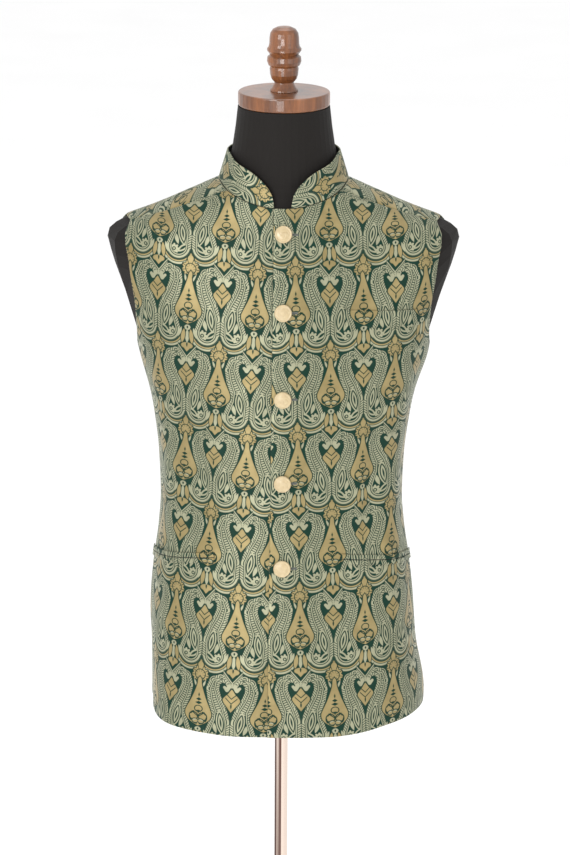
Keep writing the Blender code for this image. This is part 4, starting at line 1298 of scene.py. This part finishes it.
    # What hangs below the teardrop, ending in the row below
    for place, across_here, down_here in ((here, x, y), (above, HALF - x, y + DROP)):
        knot = disc(tree, place, 0.0, 68.4, 3.2, 2.6)
        light = paint(cut(light, knot.inside(0.8)), knot.inside(0.0))
        light = cut(light, disc(tree, place, 0.0, 68.2, 0.9, 1.3).inside(0.0))
        stem = leaf(tree, place, 0.0, 77.0, 2.0, 7.0)
        light = paint(light, stem.inside(0.0))
        petal = leaf(tree, place, 4.4, 77.0, 2.1, 7.5, -8.0)
        tan = paint(cut(tan, petal.inside(0.8)), petal.inside(0.0))
        light = cut(light, petal.inside(0.8))
        frond = leaf(tree, place, 8.0, 73.5, 1.6, 5.5, -20.0)
        light = paint(light, frond.inside(0.0))
        bulb = disc(tree, place, 0.0, 86.2, 6.2, 3.2)
        bulb = bulb.min(across_here + (down_here - 89.0 * TALL).abs() * 0.9 - 3.0)
        tan = paint(cut(tan, bulb.inside(0.7)), bulb.inside(0.0))
        tan = cut(tan, leaf(tree, place, 0.0, 84.8, 0.8, 2.9).inside(0.0))
    middle = HALF - x
    vee = (middle * 1.2 + (y - 18.6)) * 0.64
    arms = middle.inside(9.5, 0.8)
    light = paint(cut(light, vee.band(-1.4, 2.4) * arms), vee.band(-0.3, 0.7) * arms)
    light = paint(light, vee.band(1.5, 2.2) * arms)
    light = paint(light, middle.inside(0.7) * (y - 21.5).abs().inside(2.6, 0.5))

    # The bud that hangs between two curls
    bud_width = y.curve(
        (
            (25, 0.01), (27, 1.6), (30, 3.6), (33, 6.4), (36.5, 8.6),
            (39.5, 7.4), (43, 4.6), (46, 2.4), (49, 0.01),
        ),
        24.0, 50.0,
    )
    edge = (HALF - x - bud_width) * 0.8
    light = cut(light, edge.inside(1.0))
    tan = paint(cut(tan, edge.inside(1.0)), edge.inside(0.0))
    for down_at in (35.0, 40.0):
        fork = (middle * 0.95 + (y - down_at)) * 0.72
        tan = cut(tan, fork.band(-0.45, 0.45, 0.25) * middle.inside(6.0, 0.5))
    tan = cut(tan, leaf(tree, above, 0.0, 41.0 + DROP / TALL, 0.8, 2.8).inside(0.0))

    # Where both fall, tan covers pale
    light = cut(light, tan)
    tree.links.new(tan.socket, leave.inputs["Tan"])
    tree.links.new(light.socket, leave.inputs["Light"])
    return tree


def start_material(name):
    """An empty node material with its shader joined to the output."""
    material = bpy.data.materials.new(name)
    material.use_nodes = True
    tree = material.node_tree
    shader = tree.nodes["Principled BSDF"]
    return material, tree, shader


def node(tree, kind, links=(), **values):
    """Adds a node; values set its inputs or its own settings, links join other sockets to it."""
    made = tree.nodes.new(kind)
    for key, value in values.items():
        if key in made.inputs:
            made.inputs[key].default_value = value
        else:
            setattr(made, key, value)
    for socket, source in dict(links).items():
        tree.links.new(source, made.inputs[socket])
    return made


def blended(tree, factor, first, second):
    """One colour or another, by a factor; either may be a socket."""
    made = tree.nodes.new("ShaderNodeMix")
    made.data_type = "RGBA"
    tree.links.new(factor, made.inputs["Factor"])
    for name, value in (("A", first), ("B", second)):
        if isinstance(value, bpy.types.NodeSocket):
            tree.links.new(value, made.inputs[name])
        else:
            made.inputs[name].default_value = (*value, 1.0)
    return made.outputs["Result"]


def noise(tree, place, scale, detail=2.0, roughness=0.5):
    """Soft random marks from 0 to 1; a larger scale makes them smaller."""
    values = {"Scale": scale, "Detail": detail, "Roughness": roughness}
    return node(tree, "ShaderNodeTexNoise", {"Vector": place}, **values).outputs["Fac"]


def bump(tree, height, distance):
    """A shader normal that shows a height times a distance in metres as relief."""
    return node(tree, "ShaderNodeBump", {"Height": height}, Distance=distance).outputs["Normal"]


def ramp(tree, factor, low, dark, high, pale):
    """The dark colour up to a low factor, the pale one from a high factor on."""
    made = node(tree, "ShaderNodeValToRGB", {"Fac": factor})
    stops = made.color_ramp.elements
    stops[0].position, stops[0].color = low, (*dark, 1.0)
    stops[1].position, stops[1].color = high, (*pale, 1.0)
    return made.outputs["Color"]


def fill(tree, shader, inputs):
    """Sets a shader's inputs by name, each to a value or joined to a socket."""
    for name, value in inputs.items():
        value = value.socket if isinstance(value, Num) else value
        if isinstance(value, bpy.types.NodeSocket):
            tree.links.new(value, shader.inputs[name])
        else:
            shader.inputs[name].default_value = value


def brocade_material(pattern):
    """Green silk woven with tan and pale threads."""
    material, tree, shader = start_material("paisley_brocade")
    uv = node(tree, "ShaderNodeUVMap", uv_map="cloth").outputs["UV"]
    group = node(tree, "ShaderNodeGroup", node_tree=pattern)
    tree.links.new(uv, group.inputs["Cloth"])
    tan, light = group.outputs["Tan"], group.outputs["Light"]
    split = node(tree, "ShaderNodeSeparateXYZ", {"Vector": uv})
    across, up = Num(tree, split.outputs["X"]), Num(tree, split.outputs["Y"])
    ribs = ((up / WEFT_PITCH).math("FRACT") - 0.5).abs()
    threads = ((across / WARP_PITCH).math("FRACT") - 0.5).abs()
    slub = noise(tree, uv, 900.0, 2.0)
    cloudy = noise(tree, uv, 55.0, 3.0)
    ground = blended(tree, slub, GROUND_DARK, GROUND_LIGHT)
    tans = blended(tree, cloudy, TAN_DARK, TAN_LIGHT)
    pale = blended(tree, cloudy, PALE_DARK, PALE_LIGHT)
    colour = blended(tree, tan, ground, tans)
    colour = blended(tree, light, colour, pale)
    # Painted shade: the colour is darkened by a fifth at the middle of each weft rib, less towards
    # its edges.
    shade = (ribs * 0.5).math("ADD", 0.80)
    colour = blended(tree, shade.socket, (0.0, 0.0, 0.0), colour)
    raised = Num(tree, tan).max(Num(tree, light))
    rough = raised * (FLOAT_ROUGHNESS - GROUND_ROUGHNESS) + GROUND_ROUGHNESS
    height = ribs * -0.35 - threads * 0.05
    normal = bump(tree, height.socket, 0.00030)
    metallic = raised * FLOAT_METALLIC
    along = node(tree, "ShaderNodeTangent", direction_type="UV_MAP", uv_map="cloth")
    fill(tree, shader, {
        "Base Color": colour,
        "Roughness": rough,
        "Normal": normal,
        "Metallic": metallic,
        "Tangent": along.outputs["Tangent"],
        "Anisotropic": 0.75,
        "Anisotropic Rotation": 0.25,
        "Specular IOR Level": 0.20,
        "Sheen Weight": 0.15,
        "Sheen Roughness": 0.35,
        "Sheen Tint": (0.80, 0.84, 0.66, 1.0),
    })
    return material


def plain_cloth_material(name, dark, light, pitch, roughness, sheen):
    """A plain fine cloth, such as a lining or the form's cover."""
    material, tree, shader = start_material(name)
    place = node(tree, "ShaderNodeTexCoord").outputs["Object"]
    grain = noise(tree, place, 1.0 / pitch, 3.0, 0.6)
    patches = noise(tree, place, 14.0, 3.0)
    colour = blended(tree, grain, dark, light)
    colour = blended(tree, patches, colour, [0.5 * (a + b) for a, b in zip(dark, light)])
    fill(tree, shader, {
        "Base Color": colour,
        "Roughness": Num(tree, grain) * 0.15 + (roughness - 0.075),
        "Normal": bump(tree, grain, 0.0002),
        "Sheen Weight": sheen,
        "Specular IOR Level": 0.25,
    })
    return material


def wood_material():
    """Turned wood under a glossy brown lacquer, its grain running up."""
    material, tree, shader = start_material("lacquered_wood")
    place = node(tree, "ShaderNodeTexCoord").outputs["Object"]
    scaled = node(tree, "ShaderNodeMapping", {"Vector": place})
    scaled.inputs["Scale"].default_value = (22.0, 22.0, 3.0)
    scaled.inputs["Rotation"].default_value = (0.15, 0.1, 0.3)
    stretched = scaled.outputs["Vector"]
    broad = noise(tree, stretched, 1.6, 4.0, 0.55)
    fine = noise(tree, stretched, 14.0, 5.0, 0.7)
    grain = Num(tree, broad) * 0.65 + Num(tree, fine) * 0.35
    fill(tree, shader, {
        "Base Color": ramp(tree, grain.socket, 0.34, WOOD_DARK, 0.66, WOOD_LIGHT),
        "Roughness": Num(tree, fine) * 0.18 + 0.22,
        "Normal": bump(tree, fine, 0.0001),
        "Coat Weight": 0.35,
        "Coat Roughness": 0.12,
    })
    return material


def metal_material(name, dark, pale, roughness):
    """Drawn metal with streaks along it and faint marks; on the pole the dark and pale streaks are
    painted reflections.
    """
    material, tree, shader = start_material(name)
    place = node(tree, "ShaderNodeTexCoord").outputs["Object"]
    marks = noise(tree, place, 160.0, 4.0, 0.7)
    drawn = node(tree, "ShaderNodeMapping", {"Vector": place})
    drawn.inputs["Scale"].default_value = (150.0, 150.0, 0.7)
    streaks = noise(tree, drawn.outputs["Vector"], 1.0, 2.0, 0.5)
    fill(tree, shader, {
        "Base Color": ramp(tree, streaks, 0.42, dark, 0.56, pale),
        "Roughness": Num(tree, marks) * 0.12 + (roughness - 0.04),
        "Metallic": 1.0,
    })
    return material


def button_material():
    """Cream resin with a soft gloss and faint clouds."""
    material, tree, shader = start_material("cream_resin")
    place = node(tree, "ShaderNodeTexCoord").outputs["Object"]
    clouds = noise(tree, place, 190.0, 3.0)
    speck = noise(tree, place, 1500.0, 2.0)
    colour = blended(tree, clouds, BUTTON_DARK, BUTTON_LIGHT)
    fill(tree, shader, {
        "Base Color": colour,
        "Roughness": Num(tree, speck) * 0.12 + 0.30,
        "Normal": bump(tree, speck, 0.00002),
        "Subsurface Weight": 0.12,
        "Subsurface Radius": (0.004, 0.003, 0.002),
        "Coat Weight": 0.25,
    })
    return material


def thread_material():
    """Dark twisted thread of the buttonholes."""
    material, tree, shader = start_material("buttonhole_thread")
    place = node(tree, "ShaderNodeTexCoord").outputs["Object"]
    twist = noise(tree, place, 2600.0, 2.0)
    colour = blended(tree, twist, THREAD_DARK, THREAD_LIGHT)
    fill(tree, shader, {"Base Color": colour, "Roughness": Num(tree, twist) * 0.2 + 0.45})
    return material


def dress_frame(frame, black, wood, drawn, spun):
    """Gives the carried-over CAD nodes their materials."""
    finishes = {
        "form_body": black,
        "neck_cap": wood,
        "finial": wood,
        "pole": drawn,
        "base": spun,
    }
    for name, material in finishes.items():
        mesh = frame["nodes"][name].data
        mesh.materials.clear()
        mesh.materials.append(material)


def add_floor():
    """A wide pale floor, which fills the picture behind the object."""
    rings, spokes = 12, 48
    points, faces = [(0.0, 0.0, 0.0)], []
    for ring in range(1, rings + 1):
        radius = FLOOR_RADIUS * (ring / rings) ** 2
        for spoke in range(spokes):
            angle = 2 * math.pi * spoke / spokes
            points.append((radius * math.cos(angle), radius * math.sin(angle), 0.0))
    for spoke in range(spokes):
        faces.append((0, 1 + spoke, 1 + (spoke + 1) % spokes))
    for ring in range(rings - 1):
        for spoke in range(spokes):
            a = 1 + ring * spokes + spoke
            b = 1 + ring * spokes + (spoke + 1) % spokes
            faces.append((a, a + spokes, b + spokes, b))
    mesh = bpy.data.meshes.new("floor")
    mesh.from_pydata(points, [], faces)
    material, tree, shader = start_material("pale_floor")
    place = node(tree, "ShaderNodeTexCoord").outputs["Object"]
    tint = blended(tree, noise(tree, place, 3.0), (0.93, 0.93, 0.93), (0.97, 0.97, 0.97))
    fill(tree, shader, {"Base Color": tint, "Roughness": 0.9, "Specular IOR Level": 0.1})
    mesh.materials.append(material)
    floor = bpy.data.objects.new("floor", mesh)
    bpy.context.scene.collection.objects.link(floor)


def add_light(name, place, aim, size, power):
    """A soft white light, aimed at a place."""
    light = bpy.data.lights.new(name, "AREA")
    light.shape = "RECTANGLE"
    light.size, light.size_y = size
    light.energy = power
    thing = bpy.data.objects.new(name, light)
    thing.location = place
    thing.rotation_euler = (Vector(aim) - Vector(place)).to_track_quat("-Z", "Y").to_euler()
    bpy.context.scene.collection.objects.link(thing)


def add_lights():
    """The studio's even light, with its dark doorway, and the lamps."""
    world = bpy.data.worlds.new("studio")
    bpy.context.scene.world = world
    world.use_nodes = True
    tree = world.node_tree
    background = tree.nodes["Background"]
    place = node(tree, "ShaderNodeTexCoord").outputs["Generated"]
    split = node(tree, "ShaderNodeSeparateXYZ", {"Vector": place})
    x, y, z = (Num(tree, split.outputs[axis]) for axis in "XYZ")
    low = (z - DOORWAY_LEVEL).abs().inside(DOORWAY_TALL, 0.10)
    doorway = (x - y * DOORWAY_LEAN).abs().inside(DOORWAY_WIDE, 0.08) * (y + 0.4).inside(0.0, 0.3)
    dark = (low * doorway) * -(1.0 - DOORWAY_BRIGHTNESS) + 1.0
    strength = dark * WORLD_STRENGTH
    tree.links.new(strength.socket, background.inputs["Strength"])
    background.inputs["Color"].default_value = (1.0, 1.0, 1.0, 1.0)
    for light in LIGHTS:
        add_light(*light)


def add_camera():
    """The photograph's viewing angle, from in front and a little above."""
    camera = bpy.data.cameras.new("camera")
    camera.sensor_width = SENSOR_WIDTH
    camera.lens = CAMERA_FOCAL_PIXELS * SENSOR_WIDTH / PHOTO_HEIGHT
    camera.shift_x = CAMERA_SHIFT
    camera.clip_start, camera.clip_end = CLIP
    thing = bpy.data.objects.new("camera", camera)
    rise = math.radians(CAMERA_RISE)
    back = Vector((0.0, -math.cos(rise), math.sin(rise)))
    right, up = Vector((1.0, 0.0, 0.0)), back.cross(Vector((1.0, 0.0, 0.0)))
    roll = math.radians(CAMERA_ROLL)
    turned_right = right * math.cos(roll) + up * math.sin(roll)
    turned_up = up * math.cos(roll) - right * math.sin(roll)
    axes = Matrix((turned_right, turned_up, back)).transposed().to_4x4()
    place = Vector(CAMERA_TARGET) + back * CAMERA_DISTANCE
    thing.matrix_world = Matrix.Translation(place) @ axes
    bpy.context.scene.collection.objects.link(thing)
    bpy.context.scene.camera = thing


def main():
    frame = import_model()
    bpy.context.scene.view_settings.view_transform = "Standard"
    add_camera()
    add_lights()
    add_floor()
    brocade = brocade_material(paisley_pattern())
    lining = plain_cloth_material("dark_lining", LINING_DARK, LINING_LIGHT, 0.0006, 0.45, 0.1)
    black = plain_cloth_material("form_cover", COVER_DARK, COVER_LIGHT, 0.0008, 0.80, 0.02)
    thread = thread_material()
    materials = [brocade, lining]
    left, right = Panel("front_left", 1, True), Panel("front_right", -1, True)
    halves = [Panel("back", side, False) for side in (1, -1)]
    form = ["form_body"]
    trims = add_pockets(left, right, materials, lining)
    for name, panel, side in (("front_left", left, 1), ("front_right", right, -1)):
        front = add_front(name, panel, side, materials)
        declare_sheet(front, panel.cloth, form, trims[name])
    declare_sheet(*add_back(halves, materials), form)
    collar, collar_cloth = add_collar(left, right, halves, materials)
    declare_sheet(collar, collar_cloth, ["front_left", "front_right", "back"])
    add_buttons(left, button_material(), thread, lining)
    # The pole's dark and pale streaks are painted reflections.
    drawn = metal_material("drawn_steel", POLE_DARK_REFLECTION, POLE_PALE_REFLECTION, 0.14)
    spun = metal_material("spun_steel", FOOT_DARK, FOOT_PALE, 0.24)
    dress_frame(frame, black, wood_material(), drawn, spun)


main()
